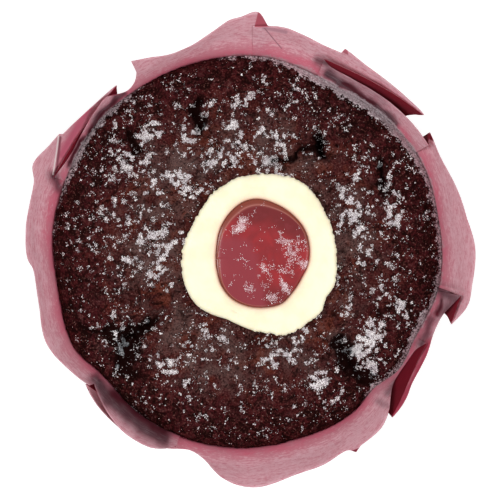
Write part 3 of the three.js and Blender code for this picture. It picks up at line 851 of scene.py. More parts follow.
@dataclass
class SugarScatter:
    """Grains of icing sugar spread over a surface, as thick as one of its marks says."""

    name: str
    per_square_mm: float
    smallest: float
    largest: float
    seed: int
    mark: str = "powder"
    flat: float = 0.7
    # Grains are octahedra, a little larger than the balls that they stand for, and most of them are small.
    grain_radius: float = 1.15
    skew: float = 2.2

    def tree(self, material: Material) -> Tree:
        """Args:
            material: of the grains.

        Returns:
            A Geometry Nodes tree with the sizes as named inputs.
        """
        tree = bpy.data.node_groups.new(f"{self.name}_scatter", "GeometryNodeTree")
        ports = tree.interface
        ports.new_socket("Geometry", in_out="INPUT", socket_type="NodeSocketGeometry")
        for label in ("Grains per square metre", "Smallest radius", "Largest radius", "Flatness"):
            ports.new_socket(label, in_out="INPUT", socket_type="NodeSocketFloat")
        ports.new_socket("Seed", in_out="INPUT", socket_type="NodeSocketInt")
        ports.new_socket("Geometry", in_out="OUTPUT", socket_type="NodeSocketGeometry")
        given = add_node(tree, "NodeGroupInput").outputs
        powder = add_node(tree, "GeometryNodeInputNamedAttribute", {"Name": self.mark}, data_type="FLOAT")
        density = add_node(tree, "ShaderNodeMath", {
            0: powder.outputs[0], 1: given["Grains per square metre"],
        }, operation="MULTIPLY")
        spots = add_node(tree, "GeometryNodeDistributePointsOnFaces", {
            "Mesh": given["Geometry"], "Density": density.outputs[0], "Seed": given["Seed"],
        }, distribute_method="RANDOM")
        grain = add_node(tree, "GeometryNodeMeshUVSphere", {
            "Segments": 4, "Rings": 2, "Radius": self.grain_radius,
        })
        chance = add_node(tree, "FunctionNodeRandomValue", {"Seed": given["Seed"]}, data_type="FLOAT")
        skewed = add_node(tree, "ShaderNodeMath", {0: chance.outputs[1], 1: self.skew}, operation="POWER")
        radius = add_node(tree, "ShaderNodeMapRange", {
            0: skewed.outputs[0], 3: given["Smallest radius"], 4: given["Largest radius"],
        })
        low = add_node(tree, "ShaderNodeMath", {
            0: radius.outputs[0], 1: given["Flatness"],
        }, operation="MULTIPLY")
        scale = add_node(tree, "ShaderNodeCombineXYZ", {
            0: radius.outputs[0], 1: radius.outputs[0], 2: low.outputs[0],
        })
        turn = add_node(tree, "FunctionNodeRandomValue", {
            0: (0.0, 0.0, 0.0), 1: (math.tau, math.tau, math.tau), "Seed": given["Seed"],
        }, data_type="FLOAT_VECTOR")
        grains = add_node(tree, "GeometryNodeInstanceOnPoints", {
            "Points": spots.outputs["Points"], "Instance": grain.outputs["Mesh"],
            "Scale": scale.outputs[0], "Rotation": turn.outputs[0],
        })
        real = add_node(tree, "GeometryNodeRealizeInstances", {"Geometry": grains.outputs[0]})
        dressed = add_node(tree, "GeometryNodeSetMaterial", {
            "Geometry": real.outputs[0], "Material": material,
        })
        add_node(tree, "NodeGroupOutput", {"Geometry": dressed.outputs[0]})
        return tree

    def build(self, ground: Object, material: Material, slot: Slot) -> Object:
        """Args:
            ground: the surface, with the mark on its points.
            material: of the grains.
            slot: the record's slot for them.

        Returns:
            One mesh with every grain.
        """
        made = bpy.data.objects.new(self.name, ground.data.copy())
        bpy.context.scene.collection.objects.link(made)
        modifier = made.modifiers.new("scatter", "NODES")
        modifier.node_group = self.tree(material)
        sizes = {
            "Grains per square metre": self.per_square_mm / MM**2,
            "Smallest radius": self.smallest * MM,
            "Largest radius": self.largest * MM,
            "Flatness": self.flat,
            "Seed": self.seed,
        }
        for item in modifier.node_group.interface.items_tree:
            if item.in_out == "INPUT" and item.name in sizes:
                modifier[item.identifier] = sizes[item.name]
        return dress(flatten(made), material, slot)


# ---------- Cake ----------


@dataclass(frozen=True)
class Crag:
    """A hollow or crack in the crust: the line it follows, its half width and its depth."""

    line: Line
    half: float
    depth: float

    def cut(self, x: Array, y: Array) -> Array:
        """Returns how deep it is at each place."""
        return self.depth * bell(line_distance(x, y, self.line), self.half)


@dataclass
class Cake:
    """The baked crumb: a fluted cone under a cracked, domed crust."""

    edge_height: float = 47.5
    dome_rise: float = 8.5
    dome_shape: tuple[float, float] = (3.0, 0.7)
    rings: int = 160
    hollow: float = 53.1
    # How far the hollow stays inside the cream's outline.
    hollow_margin: float = 0.45
    # The crust's lip over the paper: its width, how much wider it is where sugar lies, and its limit.
    lip: float = 0.15
    dusty_lip: float = 0.2
    widest_lip: float = 0.28
    side_levels: tuple[float, ...] = (44.0, 38.0, 28.0, 18.0, 8.0, 0.6)
    ripple_height: float = 0.45
    vein_depth: float = 0.35
    # The uneven crust: how far its forms wander, and its lumps, crumb, pores, veins, edge and lip.
    wander_x: Noise = Noise(2.6, 4, 11)
    wander_y: Noise = Noise(2.6, 4, 12)
    lumps: Noise = Noise(4.5, 3, 21, 0.35)
    crumb: Noise = Noise(1.5, 4, 31, 0.26)
    pores: Noise = Noise(0.9, 2, 41)
    veins: Noise = Noise(3.6, 3, 42)
    veined: Noise = Noise(8.0, 2, 43)
    edge_unrest: Noise = Noise(1.2, 2, 51, 0.15)
    lip_unrest: Noise = Noise(0.9, 3, 52, 0.12)
    # The uneven sugar, haze and warmth on it.
    flakes: Noise = Noise(0.9, 3, 61, 1 / 1.2)
    clouds: Noise = Noise(3.2, 3, 62, 0.2)
    rim_unrest: Noise = Noise(0.8, 3, 63, 0.014)
    speckled: Noise = Noise(1.6, 4, 64)
    hazy: Noise = Noise(2.5, 3, 71, 0.6)
    baked: Noise = Noise(2.0, 3, 72, 0.5)
    shaded_sugar_breakup: Noise = Noise(1.5, 3, 73)
    shadowy: Noise = Noise(1.6, 3, 74, 0.35)
    crags: tuple[Crag, ...] = (
        Crag(((-11, 28.8), (-10.2, 25.4)), 2.1, 2.8),
        Crag(((-24.8, 24), (-24.0, 20.6)), 1.8, 2.4),
        Crag(((4.6, 18.7), (11.2, 20), (14.7, 21.2)), 1.5, 1.6),
        Crag(((14.7, 22.4), (14.7, 20.2)), 1.9, 3.4),
        Crag(((27.3, 17.7), (27.3, 12.8)), 1.6, 2.4),
        Crag(((36, 9.6), (36.2, 7.6)), 1.4, 1.4),
        Crag(((-34.9, -15.4), (-29.5, -16.7)), 1.4, 1.4),
        Crag(((-26.0, -23.2), (-26.6, -18.8)), 3.0, 4.2),
        Crag(((-25.2, -17.4), (-21.2, -14.6)), 1.7, 2.6),
        Crag(((18.6, -19.1), (19.9, -23.3), (24.4, -26.5)), 2.2, 4.0),
        Crag(((27, -12), (30, -12.6)), 1.7, 1.8),
    )
    # Narrow splits that are too fine for the solid: line, half width and depth.
    splits: tuple[Crag, ...] = (
        Crag(((4.6, 18.7), (8, 19.2), (11.2, 20), (14.7, 21.2)), 0.35, 0.9),
        Crag(((14.7, 22.2), (14.9, 19.6)), 0.8, 2.2),
        Crag(((27.3, 17.7), (26.9, 15), (27.3, 12.4)), 0.45, 1.2),
        Crag(((-34.9, -15.4), (-31, -16.2), (-29.5, -16.7)), 0.3, 0.9),
        Crag(((-25.8, -23.4), (-26.2, -19.6)), 1.5, 1.0),
        Crag(((-25.6, -17.8), (-23.6, -16.4), (-21.2, -14.4)), 0.95, 1.4),
        Crag(((-26, -18), (-21, -17.2)), 0.4, 0.8),
        Crag(((18.4, -18.8), (18.9, -21), (20.6, -24), (24.4, -26.7)), 0.7, 1.4),
        Crag(((-10.9, 29.2), (-10.4, 26.4)), 0.9, 1.0),
        Crag(((-24.8, 24), (-24.2, 21)), 0.6, 0.9),
        Crag(((31, 19), (31.4, 17)), 0.4, 0.7),
        Crag(((36, 9.8), (36.3, 7.2)), 0.4, 0.8),
    )
    # Smooth swells between the crags: x, y, half width and height.
    swells: Spots = (
        (-15.5, -18.2, 5, 1.2), (9.6, 17, 3.4, 0.7), (-6, 33, 5, 0.5), (27, -20, 3, 0.8),
        (-24, 4, 6, 0.5), (4, -28, 6, 0.7), (32, 4, 4, 0.5), (-16, 20, 5, 0.6),
    )
    # Drifts of icing sugar: x, y, half width and thickness, below 0 where the crust is barer.
    drifts: Spots = (
        (-27.0, 18.9, 1.6, 0.9), (-24.2, 18.7, 1.3, 0.7), (-20.5, 23.9, 2.2, 0.75), (-13.9, 23.9, 1.8, 0.7),
        (-8.7, 29.6, 1.2, 0.5), (-3.8, 24.3, 2.0, 0.7), (1.7, 24.3, 1.5, 1), (6.5, 23.7, 1.4, 0.9),
        (-7.3, 19.5, 2.0, 0.8), (2.4, 17.9, 1.8, 0.6), (-14.5, 14.0, 2.2, 0.7), (-12.0, 12.1, 1.6, 0.8),
        (19.8, 25.3, 1.6, 0.6), (12.9, 29.8, 1.8, 0.5), (8.7, 33.3, 1.3, 0.45), (-0.1, 29.8, 1.0, 0.6),
        (-13.1, 33.3, 0.8, 0.4), (16.1, 12.1, 2.0, 0.5), (20.3, 11.1, 2.2, 0.9), (22.1, 6.8, 1.8, 0.95),
        (22.7, 4.1, 1.5, 0.7), (24.6, -0.8, 2.0, 0.75), (27.7, 9.0, 1.8, 0.8), (30.7, 6.8, 1.8, 0.9),
        (21.1, 15.6, 1.4, 0.6), (18.8, 3.9, 1.4, 0.6), (25.4, -7.4, 1.6, 0.7), (20.3, -12.5, 1.8, 0.75),
        (28.1, -9.2, 1.8, 0.65), (31.4, -12.5, 1.6, 0.9), (26.6, -16.5, 2.2, 0.8), (24.8, -17.5, 1.5, 0.8),
        (23.4, -20.4, 3.0, 1.4), (15.5, -25.3, 2.2, 0.8), (12.4, -27.2, 1.6, 0.8), (17.8, -30.2, 1.2, 0.8),
        (5.3, -27.8, 2.2, -0.5), (-10.5, -32.0, 2.5, -0.3),
        (5.7, -20.8, 2.0, 0.7), (2.8, -21.4, 1.5, 0.5), (9.6, -19.7, 1.8, 0.5), (-19.2, -23.2, 1.8, 0.8),
        (-16.6, -24.7, 1.6, 0.7), (-12.6, -21.4, 1.5, 0.6), (-9.4, -17.5, 1.2, 0.7), (-5.5, -17.5, 1.2, 0.5),
        (-26.6, -18.1, 1.8, 0.6), (-27.5, -13.6, 1.6, 0.5), (-18.6, -2.7, 1.4, 0.8), (-15.5, 1.9, 2.4, 0.5),
        (-17.2, -7.6, 1.4, 0.6), (-25.8, -2.3, 0.8, 0.5), (-29.1, 8.4, 2.0, 0.4),
    )
    # Wide falls of sparse sugar around the drifts: x, y, half width and thickness.
    falls: Spots = (
        (-17, 18, 12, 0.2), (2, 22, 9, 0.2), (24, 7, 8, 0.18), (22, -20, 9, 0.17), (-18, 0, 9, 0.24),
        (-16, -22, 9, 0.12), (6, -20, 8, 0.14), (10, -30, 8, 0.08), (13, 28, 5, 0.08), (-28, 6, 9, 0.1),
    )
    # Warm, bare patches of the crust: x, y, half width and strength.
    warms: Spots = (
        (31, -8, 4, 0.9), (29, -20, 3, 0.9), (-20, 28, 4, 0.6), (8, 17.5, 3, 0.7), (-20, -29, 4, 0.8),
        (-14, -19, 4, 0.5), (10, -32, 5, 0.5), (28, 17, 3, 0.7), (-30, 2, 4, 0.4), (-4, 33, 4, 0.5),
        (22, 22, 3, 0.5),
    )
    # Sugar that has fallen into the crags, painted grey for the shade it lies in: x, y, half width and
    # strength.
    shaded_sugar_spots: Spots = (
        (-27.2, -19.0, 1.9, 0.7), (-26.4, -21.6, 1.6, 0.6), (-27.4, -23.6, 0.9, 0.6),
        (-21.6, -14.2, 0.8, 0.6), (-24.4, -17.2, 1.0, 0.6), (27.0, 16.8, 0.7, 0.9), (27.4, 14.2, 0.4, 0.6),
        (20.0, -21.4, 1.6, 0.5), (22.0, -25.2, 1.6, 0.5), (13.6, 21.0, 0.6, 0.5), (24.8, -26.6, 1.4, 0.6),
        (-34.0, -15.6, 0.6, 0.4), (-9.6, 25.6, 1.2, 0.5), (-13.6, 22.6, 1.4, 0.5), (-23.6, 20.0, 1.0, 0.5),
    )
    # Grey bloom on the crust: x, y, half width and strength.
    blooms: Spots = (
        (-20, 0, 9, 0.35), (-8, -22, 9, 0.3), (14, -20, 9, 0.25), (6, 20, 9, 0.25), (-16, 16, 9, 0.2),
        (20, 2, 8, 0.2), (-15.2, -18.2, 4, 0.4), (-12, 18, 4, 0.3), (-30, -20, 4, 0.3),
    )

    def crust(self, x: Array, y: Array) -> dict[str, Array]:
        """Args:
            x, y: places on the crust.

        Returns:
            The height there and the marks that the finish reads.
        """
        bearing = np.degrees(np.arctan2(y, x))
        out = np.minimum(1.0, np.hypot(x, y) / EDGE_RADIUS(bearing))
        dome = self.dome_rise * (1 - out ** self.dome_shape[0]) ** self.dome_shape[1]
        wx = x + self.wander_x(x, y)
        wy = y + self.wander_y(x, y)
        crag = sum(crag.cut(wx, wy) for crag in self.crags)
        split = sum(split.cut(wx, wy) for split in self.splits)
        swell = heaped(wx, wy, self.swells)
        ripple = np.sin(0.9 * x + 2 * np.sin(0.35 * y)) * np.sin(0.8 * y + 1.3 * np.sin(0.4 * x))
        rough = 1 - np.clip(swell / 0.9, 0, 1) * 0.7
        lumps = self.lumps(wx, wy)
        crumb = self.crumb(wx, wy) * rough
        pores = 0.4 * smooth(self.pores(x, y), 0.55, 0.95) * rough
        veins = smooth(np.abs(self.veins(wx, wy)), 0.12, 0.02) * smooth(self.veined(x, y), -0.2, 0.4)
        relief = swell - crag - split + self.ripple_height * ripple + lumps + crumb - pores
        relief -= self.vein_depth * veins
        height = self.edge_height + dome + relief * (1 - out**6) + self.edge_unrest(x, y) * out

        drift, fall = heaped(x, y, self.drifts), heaped(x, y, self.falls)
        cloud = np.clip(0.7 * drift + fall + self.clouds(x, y), 0.02, 1.0)
        powder = smooth(self.flakes(x, y), 0.55 - 0.95 * cloud, 0.85 - 0.85 * cloud)
        powder *= 0.3 + 0.7 * smooth(cloud, 0.0, 0.5)
        powder *= 1 - 0.75 * smooth(split + crag * 0.3, 0.6, 2.0)
        powder *= 1 - smooth(out, 0.955, 0.985)
        specks = (0.04 + 0.8 * cloud) * smooth(self.speckled(x, y), -0.1, 0.75)
        specks *= 1 - smooth(out, 0.96, 1.0)
        thick = rim_dust(bearing)
        start = 0.998 - 0.026 * thick
        dust = (0.3 + 0.52 * thick) * smooth(thick, 0.0, 0.2)
        dust *= smooth(out + self.rim_unrest(x, y), start - 0.014, start + 0.014)

        # Painted shade, read by the finish as near-black crumb, in the pores, crags, splits and veins.
        hollow_shade = smooth(pores - crumb - lumps * 0.3, 0.16, 0.5) * 0.55
        crag_shade = smooth(crag * 0.6 + split + self.shadowy(x, y), 0.8, 1.4) * 0.97
        haze = 0.75 * heaped(x, y, self.blooms) + 0.22 * smooth(out, 0.92, 0.6)
        haze = haze * (0.6 + self.hazy(x, y)) + 0.2 * cloud
        warm = heaped(wx, wy, self.warms) * (0.8 + self.baked(x, y))
        ash = heaped(wx, wy, self.shaded_sugar_spots) * smooth(self.shaded_sugar_breakup(x, y), -0.25, 0.35)
        marks = {
            "edge": out, "crag": np.maximum(crag_shade, np.maximum(hollow_shade, veins * 0.6)), "powder": powder,
            "specks": specks, "warm": warm, "haze": haze, "dust": dust, "ash": ash,
        }
        return {"height": height} | {name: np.clip(values, 0, 1) for name, values in marks.items()}

    def sink(self, x: Array, y: Array, height: Array) -> Array:
        """Returns the height with the hollow that holds the cream pressed into it."""
        dx, dy = x - TOPPING_CENTRE[0], y - TOPPING_CENTRE[1]
        inside = CREAM_RADIUS(np.degrees(np.arctan2(dy, dx))) - np.hypot(dx, dy)
        return np.where(inside > self.hollow_margin, np.minimum(height, self.hollow), height)

    def build(self, material: Material) -> tuple[Object, Object]:
        """Args:
            material: of the crust.

        Returns:
            The cake, and the bare crust with its marks, for the sugar to fall on.
        """
        counts = [1] + [6 * ring for ring in range(1, self.rings + 1)]
        start = np.cumsum([0, *counts])
        ring = np.repeat(np.arange(self.rings + 1), counts)
        step = np.concatenate([np.arange(count) for count in counts])
        bearing = 360.0 * step / np.maximum(6 * ring, 1)
        share = ring / self.rings
        radius = share * EDGE_RADIUS(bearing)
        flat = around(bearing, radius, np.zeros_like(radius))
        lip = self.lip + self.dusty_lip * rim_dust(bearing) + self.lip_unrest(flat[:, 0], flat[:, 1])
        # The crust's lip stays inside the paper that it leans on.
        lip = np.minimum(lip, self.widest_lip) * smooth(share, 0.93, 1.0)
        flat[:, :2] *= (1 + lip / EDGE_RADIUS(bearing))[:, None]
        marks = self.crust(flat[:, 0], flat[:, 1])
        flat[:, 2] = self.sink(flat[:, 0], flat[:, 1], marks.pop("height"))
        faces = disc_faces(start)
        ground = make_mesh("crust_ground", flat, faces, marks)
        sides = 6 * self.rings
        turn = 360.0 * np.arange(sides) / sides
        rows = []
        for level in self.side_levels:
            opened = (level / THROAT_HEIGHT) ** SIDE_POWER
            reach = (FOOT_RADIUS - FOOT_CHAMFER - CLEARANCE) * (1 - opened) + EDGE_RADIUS(turn) * opened
            rows.append(around(turn, reach, np.full(sides, level), FOOT_CENTRE * (1 - opened)))
        points = np.concatenate([flat, *rows, [[*FOOT_CENTRE, self.side_levels[-1]]]])
        i = np.arange(sides)
        j = (i + 1) % sides
        above = start[-2]
        for row in range(len(rows)):
            below = len(flat) + row * sides
            faces += np.stack([below + i, below + j, above + j, above + i], axis=1).tolist()
            above = below
        faces += np.stack([np.full(sides, len(points) - 1), above + j, above + i], axis=1).tolist()
        padding = len(points) - len(flat)
        full = {name: np.concatenate([values, np.full(padding, float(name == "edge"))])
                for name, values in marks.items()}
        made = make_mesh("cake_crust", points, faces, full)
        return dress(made, material, Slot.CRUST, "cake"), ground


# ---------- Cream and jam ----------


@dataclass
class Cream:
    """A ring of set cream, a little proud of the crust, with a dish for the jam in its middle."""

    bottom: float = 53.4
    floor: float = 55.0
    columns: int = 700
    # The wall, from the bottom up: how far past the outline, the height and the share of the torn edge.
    wall: tuple[tuple[float, float, float], ...] = (
        (-1.2, 53.4, 0.2), (-0.3, 54.1, 0.6), (-0.05, 55.2, 1.0), (0.0, 56.0, 1.0), (-0.05, 56.5, 1.0),
        (-0.2, 56.9, 0.8), (-0.5, 57.2, 0.5), (-0.95, 57.42, 0.25), (-1.5, 57.54, 0.1), (-2.2, 57.6, 0.0),
    )
    # The dish, from its rim down: how far past the jam's outline, the height and how much jam has bled in.
    dish: tuple[tuple[float, float, float], ...] = (
        (1.9, 57.58, 0.0), (1.4, 57.55, 0.06), (0.9, 57.47, 0.14), (0.55, 57.36, 0.26), (0.3, 57.2, 0.45),
        (0.08, 56.95, 0.75), (-0.08, 56.5, 1.0), (-0.3, 55.5, 1.0), (-1.4, 55.0, 1.0),
    )
    torn: Noise = Noise(0.75, 3, 81, 0.17)
    # The lower left edge is cut clean: its bearing, and how far from it the torn edge starts and is full.
    clean_cut: tuple[float, float, float] = (232.0, 22.0, 42.0)
    waves: Noise = Noise(7.5, 2, 82, 0.1)

    def build(self, material: Material) -> Object:
        """Args:
            material: of the cream.

        Returns:
            The cream.
        """
        turn = 360.0 * np.arange(self.columns) / self.columns
        out, well = CREAM_RADIUS(turn), JAM_RADIUS(turn)
        spot = around(turn, out, np.zeros_like(out))
        middle, starts, full = self.clean_cut
        torn = self.torn(spot[:, 0], spot[:, 1])
        torn *= 0.15 + 0.85 * smooth(np.abs(off_bearing(turn, middle)), starts, full)
        rings = [around(turn, out + margin + share * torn, np.full_like(out, z), TOPPING_CENTRE)
                 for margin, z, share in self.wall]
        marks = [np.zeros(self.columns) for _ in self.wall]
        start, end = out + self.wall[-1][0], well + self.dish[0][0]
        wave = self.waves(spot[:, 0], spot[:, 1]) * np.minimum(1.0, (start - end) / 3.0)
        for share in np.linspace(0.15, 0.85, 6):
            height = self.dish[0][1] + wave * math.sin(math.pi * share)
            rings.append(around(turn, start + (end - start) * share, height, TOPPING_CENTRE))
            marks.append(np.zeros(self.columns))
        for margin, z, bleed in self.dish:
            rings.append(around(turn, well + margin, np.full_like(out, z), TOPPING_CENTRE))
            marks.append(np.full(self.columns, bleed))
        points, faces = loft(rings, (*TOPPING_CENTRE, self.bottom), (*TOPPING_CENTRE, self.floor))
        bleed = np.concatenate([*marks, [0.0, 1.0]])
        return dress(make_mesh("cream_ring", points, faces, {"bleed": bleed}), material, Slot.CREAM, "cream")


@dataclass
class Jam:
    """A pool of jam in the cream's dish: a thin clear margin round a low dome."""

    bottom: float = 55.3
    edge: float = 57.05
    crown: float = 58.1
    columns: int = 300
    # Under the edge: how far inside the dish's outline, and the height.
    foot: Knots = ((1.6, 55.3), (0.75, 55.8), (0.22, 56.5))
    # Across the clear margin: the share of its width, the rise, how clear it is and the bead of light on it.
    bead: tuple[tuple[float, float, float, float], ...] = (
        (0.0, 0.0, 1.0, 0.0), (0.3, 0.06, 1.0, 0.0), (0.6, 0.1, 1.0, 0.0), (0.85, 0.2, 0.75, 0.25),
        (1.0, 0.34, 0.4, 0.8), (1.15, 0.42, 0.1, 0.2), (1.4, 0.45, 0.0, 0.0),
    )
    edge_gap: float = 0.08
    waves: Noise = Noise(4.0, 2, 91, 0.07)
    flakes: Noise = Noise(0.9, 3, 92, 0.6)
    clouds: Noise = Noise(4.0, 3, 93, 0.9)
    # Patches of sugar on the jam: x, y, half width and thickness.
    drifts: Spots = (
        (-1.5, 5.2, 1.3, 1.5), (-2.9, 4.3, 1.0, 1.3), (-0.9, 6.4, 0.8, 1.0), (0.9, 0.6, 0.8, 0.6),
        (7.2, 2.0, 2.2, 0.55), (9.0, 0.8, 1.8, 0.6), (8.6, -1.5, 1.6, 0.55), (3.0, -3.6, 1.5, 1.1),
        (5.8, -3.9, 1.4, 0.85), (8.0, -3.4, 1.2, 0.7), (11.2, -3.0, 1.0, 1.8), (7.2, -8.0, 1.5, 1.4),
        (6.4, -6.4, 0.9, 0.8), (4.2, -9.6, 1.5, 1.0), (0.2, -8.0, 1.5, 0.75), (-2.4, -2.0, 0.9, 0.3),
    )

    def build(self, material: Material) -> Object:
        """Args:
            material: of the jam.

        Returns:
            The jam, with marks for its thin margin, the painted highlight on its bead, its painted shade and
            soft reflection, and its sugar.
        """
        turn = 360.0 * np.arange(self.columns) / self.columns
        well = JAM_RADIUS(turn)
        # The clear margin is widest at the top and dies away round to the right.
        margin = 0.28 + 0.95 * bell(off_bearing(turn, 108), 48.0) + 0.3 * bell((turn - 185) % 360, 35.0)
        clear = smooth(np.abs(off_bearing(turn, 140)), 150.0, 95.0)
        rings = [around(turn, well - inset, np.full_like(well, z), TOPPING_CENTRE) for inset, z in self.foot]
        thin = [np.ones(self.columns)] * len(rings)
        line = [np.zeros(self.columns)] * len(rings)
        for share, rise, clearness, light in self.bead:
            height = np.full_like(well, self.edge + rise)
            rings.append(around(turn, well - self.edge_gap - margin * share, height, TOPPING_CENTRE))
            thin.append(clearness * clear)
            line.append(light * (0.25 + 0.75 * clear))
        last_share, last_rise = self.bead[-1][:2]
        inner = well - self.edge_gap - margin * last_share
        for share in np.linspace(0.94, 0.04, 26):
            spot = around(turn, inner * share, np.zeros_like(well), TOPPING_CENTRE)
            swell = (self.crown - self.edge - last_rise) * (1 - share**2.4)
            wave = self.waves(spot[:, 0], spot[:, 1]) * (1 - share**4)
            spot[:, 2] = np.minimum(self.edge + last_rise + swell + wave, self.crown)
            rings.append(spot)
            thin.append(np.zeros(self.columns))
            line.append(np.zeros(self.columns))
        points, faces = loft(rings, (*TOPPING_CENTRE, self.bottom), (*TOPPING_CENTRE, self.crown))
        x, y = points[:, 0], points[:, 1]
        cloudy = self.clouds(x, y)
        powder = smooth(self.flakes(x, y) + heaped(x, y, self.drifts), 0.35, 1.6)
        # Painted shade at the top and the bottom of the dome.
        upper, lower = smooth(y + 0.35 * x + cloudy, 3.5, 7.5) * 0.9, smooth(cloudy - y, 5.0, 9.5) * 0.8
        marks = {
            # Painted soft reflection on the left.
            "veil": smooth(-x - 0.25 * y + cloudy, -1.9, 0.9) * smooth(-y + cloudy, -4.5, -1.0) * 0.85,
            "dusk": np.maximum(upper, lower),
            "thin": np.concatenate([*thin, [1.0, 0.0]]),
            "line": np.concatenate([*line, [0.0, 0.0]]),
            "powder": powder * (points[:, 2] > self.edge),
        }
        return dress(make_mesh("jam_pool", points, faces, marks), material, Slot.JAM, "jam")


# ---------- Paper case ----------


@dataclass(frozen=True)
class Panel:
    """A stretch of the paper: the sheets inside it at each end, its rim, how straight the edge of the fold
    after it is, and how many degrees the crease at each end turns on its way down to the throat.
    """

    layers: tuple[float, float]
    rim: Line
    straight: float = 1.0
    slant: tuple[float, float] = (0.0, 0.0)


@dataclass
class PaperCase:
    """The folded sheet of greaseproof paper: a flat foot, a conical side and a flared rim with folds."""

    paper: float = 0.08
    layer_step: float = 0.85
    pressed_step: float = 0.16
    spread_height: float = 5.0
    spread_gap: float = 0.3
    lowest_rim: float = 0.4
    highest_rim: float = 20.0
    halvings: int = 24
    fold_height: float = 7.0
    fold_half: float = 0.15
    crease_gap: float = 0.1
    slant_width: float = 7.0
    bend_bulge: float = 0.12
    sample: float = 0.7
    flare_rows: int = 16
    dusted_rows: int = 20
    # Degrees to millimetres along the rim, for the fibres.
    rim_per_degree: float = 0.74
    # Creases down the side and waves in the flare: their radius in features, how fast they change with
    # height, their depth in millimetres and their seed.
    creases: tuple[float, float, float, int] = (27.0, 0.05, 0.16, 101)
    waves: tuple[float, float, float, int] = (12.6, 0.2, 0.25, 103)
    patches: Noise = Noise(1.3, 4, 104, 0.3)
    stain_wander_x: Noise = Noise(2.0, 3, 105, 0.35)
    stain_wander_y: Noise = Noise(2.0, 3, 106, 0.35)
    lean: RoundCurve = RoundCurve([
        (0, 0.42), (20, 0.37), (33, 0.35), (50, 0.43), (62, 0.5), (75, 0.5), (88, 0.55), (100, 0.45),
        (110, 0.33), (122, 0.45), (134, 0.33), (148, 0.4), (158, 0.5), (175, 0.42), (186, 0.38),
        (205, 0.45), (220, 0.44), (235, 0.5), (248, 0.36), (258, 0.4), (270, 0.55), (290, 0.52), (310, 0.5),
        (325, 0.4), (347, 0.42),
    ])
    panels: tuple[Panel, ...] = (
        Panel((2, 0), ((339.9, 44.2), (345.7, 46), (351, 46), (360.5, 46), (368.4, 44.8)), slant=(4.0, 0.0)),
        Panel((0, 2), ((368.5, 44.8), (377.3, 44.2), (385.7, 43.6), (393.1, 44.2))),
        Panel((0, 0), ((30.6, 42.6), (36.4, 42.4), (41.2, 42.2), (49.3, 41.7), (58.8, 41.1), (66.4, 41.3),
                       (68.6, 42)), 0.45),
        Panel((2, 2), ((38, 45.2), (44.3, 44.9), (50.3, 44.7), (58, 44.8), (64.7, 45.6)), slant=(4.5, 0.0)),
        Panel((2, 1.3), ((65.2, 44.6), (70.2, 44.7), (76.9, 45.6), (81.4, 46.2), (89.1, 46.1))),
        Panel((2, 0), ((85.3, 46.1), (88, 48.7), (92.2, 47.8), (95, 47.3), (99.7, 45.5), (105.8, 43.8),
                       (112.4, 43.5), (117.6, 44.6), (122.2, 45.7))),
        Panel((0, 0), ((122.6, 43.4), (124.1, 42.3), (126, 41.7), (127.8, 41.6), (129.9, 42.1), (131.8, 42.9),
                       (133.6, 43.3), (137, 43.0), (140.8, 42.7), (143.7, 42.4), (148, 42.1), (151.3, 42.0),
                       (155, 42.3), (159.5, 43.1)), 0.5),
        Panel((2, 2), ((129.2, 43.8), (134.5, 43.9), (139.6, 44.2), (144.7, 44.8), (148.2, 45.3)),
              slant=(3.0, 0.0)),
        Panel((2, 0), ((148.7, 45.9), (152.5, 46.5), (158.5, 47.8), (162.7, 46.5), (174.8, 46.2),
                       (182.5, 45.6), (185.3, 44.7), (194.5, 44.8), (204.7, 46), (215.1, 44.3),
                       (220.1, 43.3))),
        Panel((0, 0), ((220.6, 42.4), (225.5, 43.7), (230.5, 44.8), (235, 45.5), (239.5, 45.6), (243.5, 45.3),
                       (247, 44.3), (249.2, 43.3))),
        Panel((2, 2), ((219.4, 43.9), (224.2, 44.7), (229.2, 45.2), (236.2, 45.5), (243.1, 45.2),
                       (249.4, 43.9)), slant=(2.5, 0.0)),
        Panel((2, 0), ((249.9, 43.7), (253.3, 43.2), (257.3, 44.1), (263.1, 47.1), (270.6, 48.6),
                       (282.2, 46.9), (288.9, 46.5), (296, 45.7), (297.7, 46.7))),
        Panel((0, 0), ((299.6, 46), (305.8, 45.4), (309, 44.4), (310.9, 43.5))),
        Panel((0, 0), ((311.2, 43.4), (313.8, 41.8), (316.6, 40.6), (319.5, 40.1), (324.2, 39.9), (329, 40.0),
                       (332, 41.0))),
        Panel((2, 0), ((310.5, 45.1), (313.1, 44.8), (316.7, 44.2), (320.7, 43.2), (329.4, 42.3),
                       (335.1, 41.6), (340.6, 41.8), (343, 42.4), (347.6, 44.2))),
    )
    # Painted shade on the paper's inner side, down in the pockets between layers: a line across it, half
    # width, strength and last layer.
    pocket_shades: tuple[tuple[Line, float, float, float], ...] = (
        (((16.4, 36.5), (21.3, 32.9), (26.6, 29.1), (30.0, 26.2)), 0.9, 1.15, 1),
        (((18.0, 36.9), (22.8, 34.2), (28.0, 30.4)), 0.8, 0.4, 1),
        (((14.0, 39.0), (15.4, 38.3)), 1.0, 0.9, 2),
        (((-26.4, 32.2), (-29.2, 30.0), (-33.3, 24.6), (-37.3, 18.3)), 0.6, 1.0, 1),
        (((-30.2, 29.2), (-32.2, 26.8)), 1.0, 0.5, 1),
        (((-31.6, -26.8), (-29.8, -29.6), (-27.0, -32.6), (-22.2, -36.6), (-17.8, -38.9)), 1.5, 1.15, 1),
        (((-40.8, 15.4), (-39.9, 12.6)), 1.0, 0.95, 2),
        (((39.2, -8.2), (42.6, -10.2), (40.4, -13.0)), 1.6, 0.9, 1),
        (((37.4, -14.4), (35.6, -19.6)), 1.1, 0.9, 1),
        (((28.6, -29.6), (30.8, -27.2), (31.2, -29.4)), 0.9, 0.7, 2),
        (((26.6, -31.4), (30.4, -33.0)), 0.7, 0.45, 2),
    )
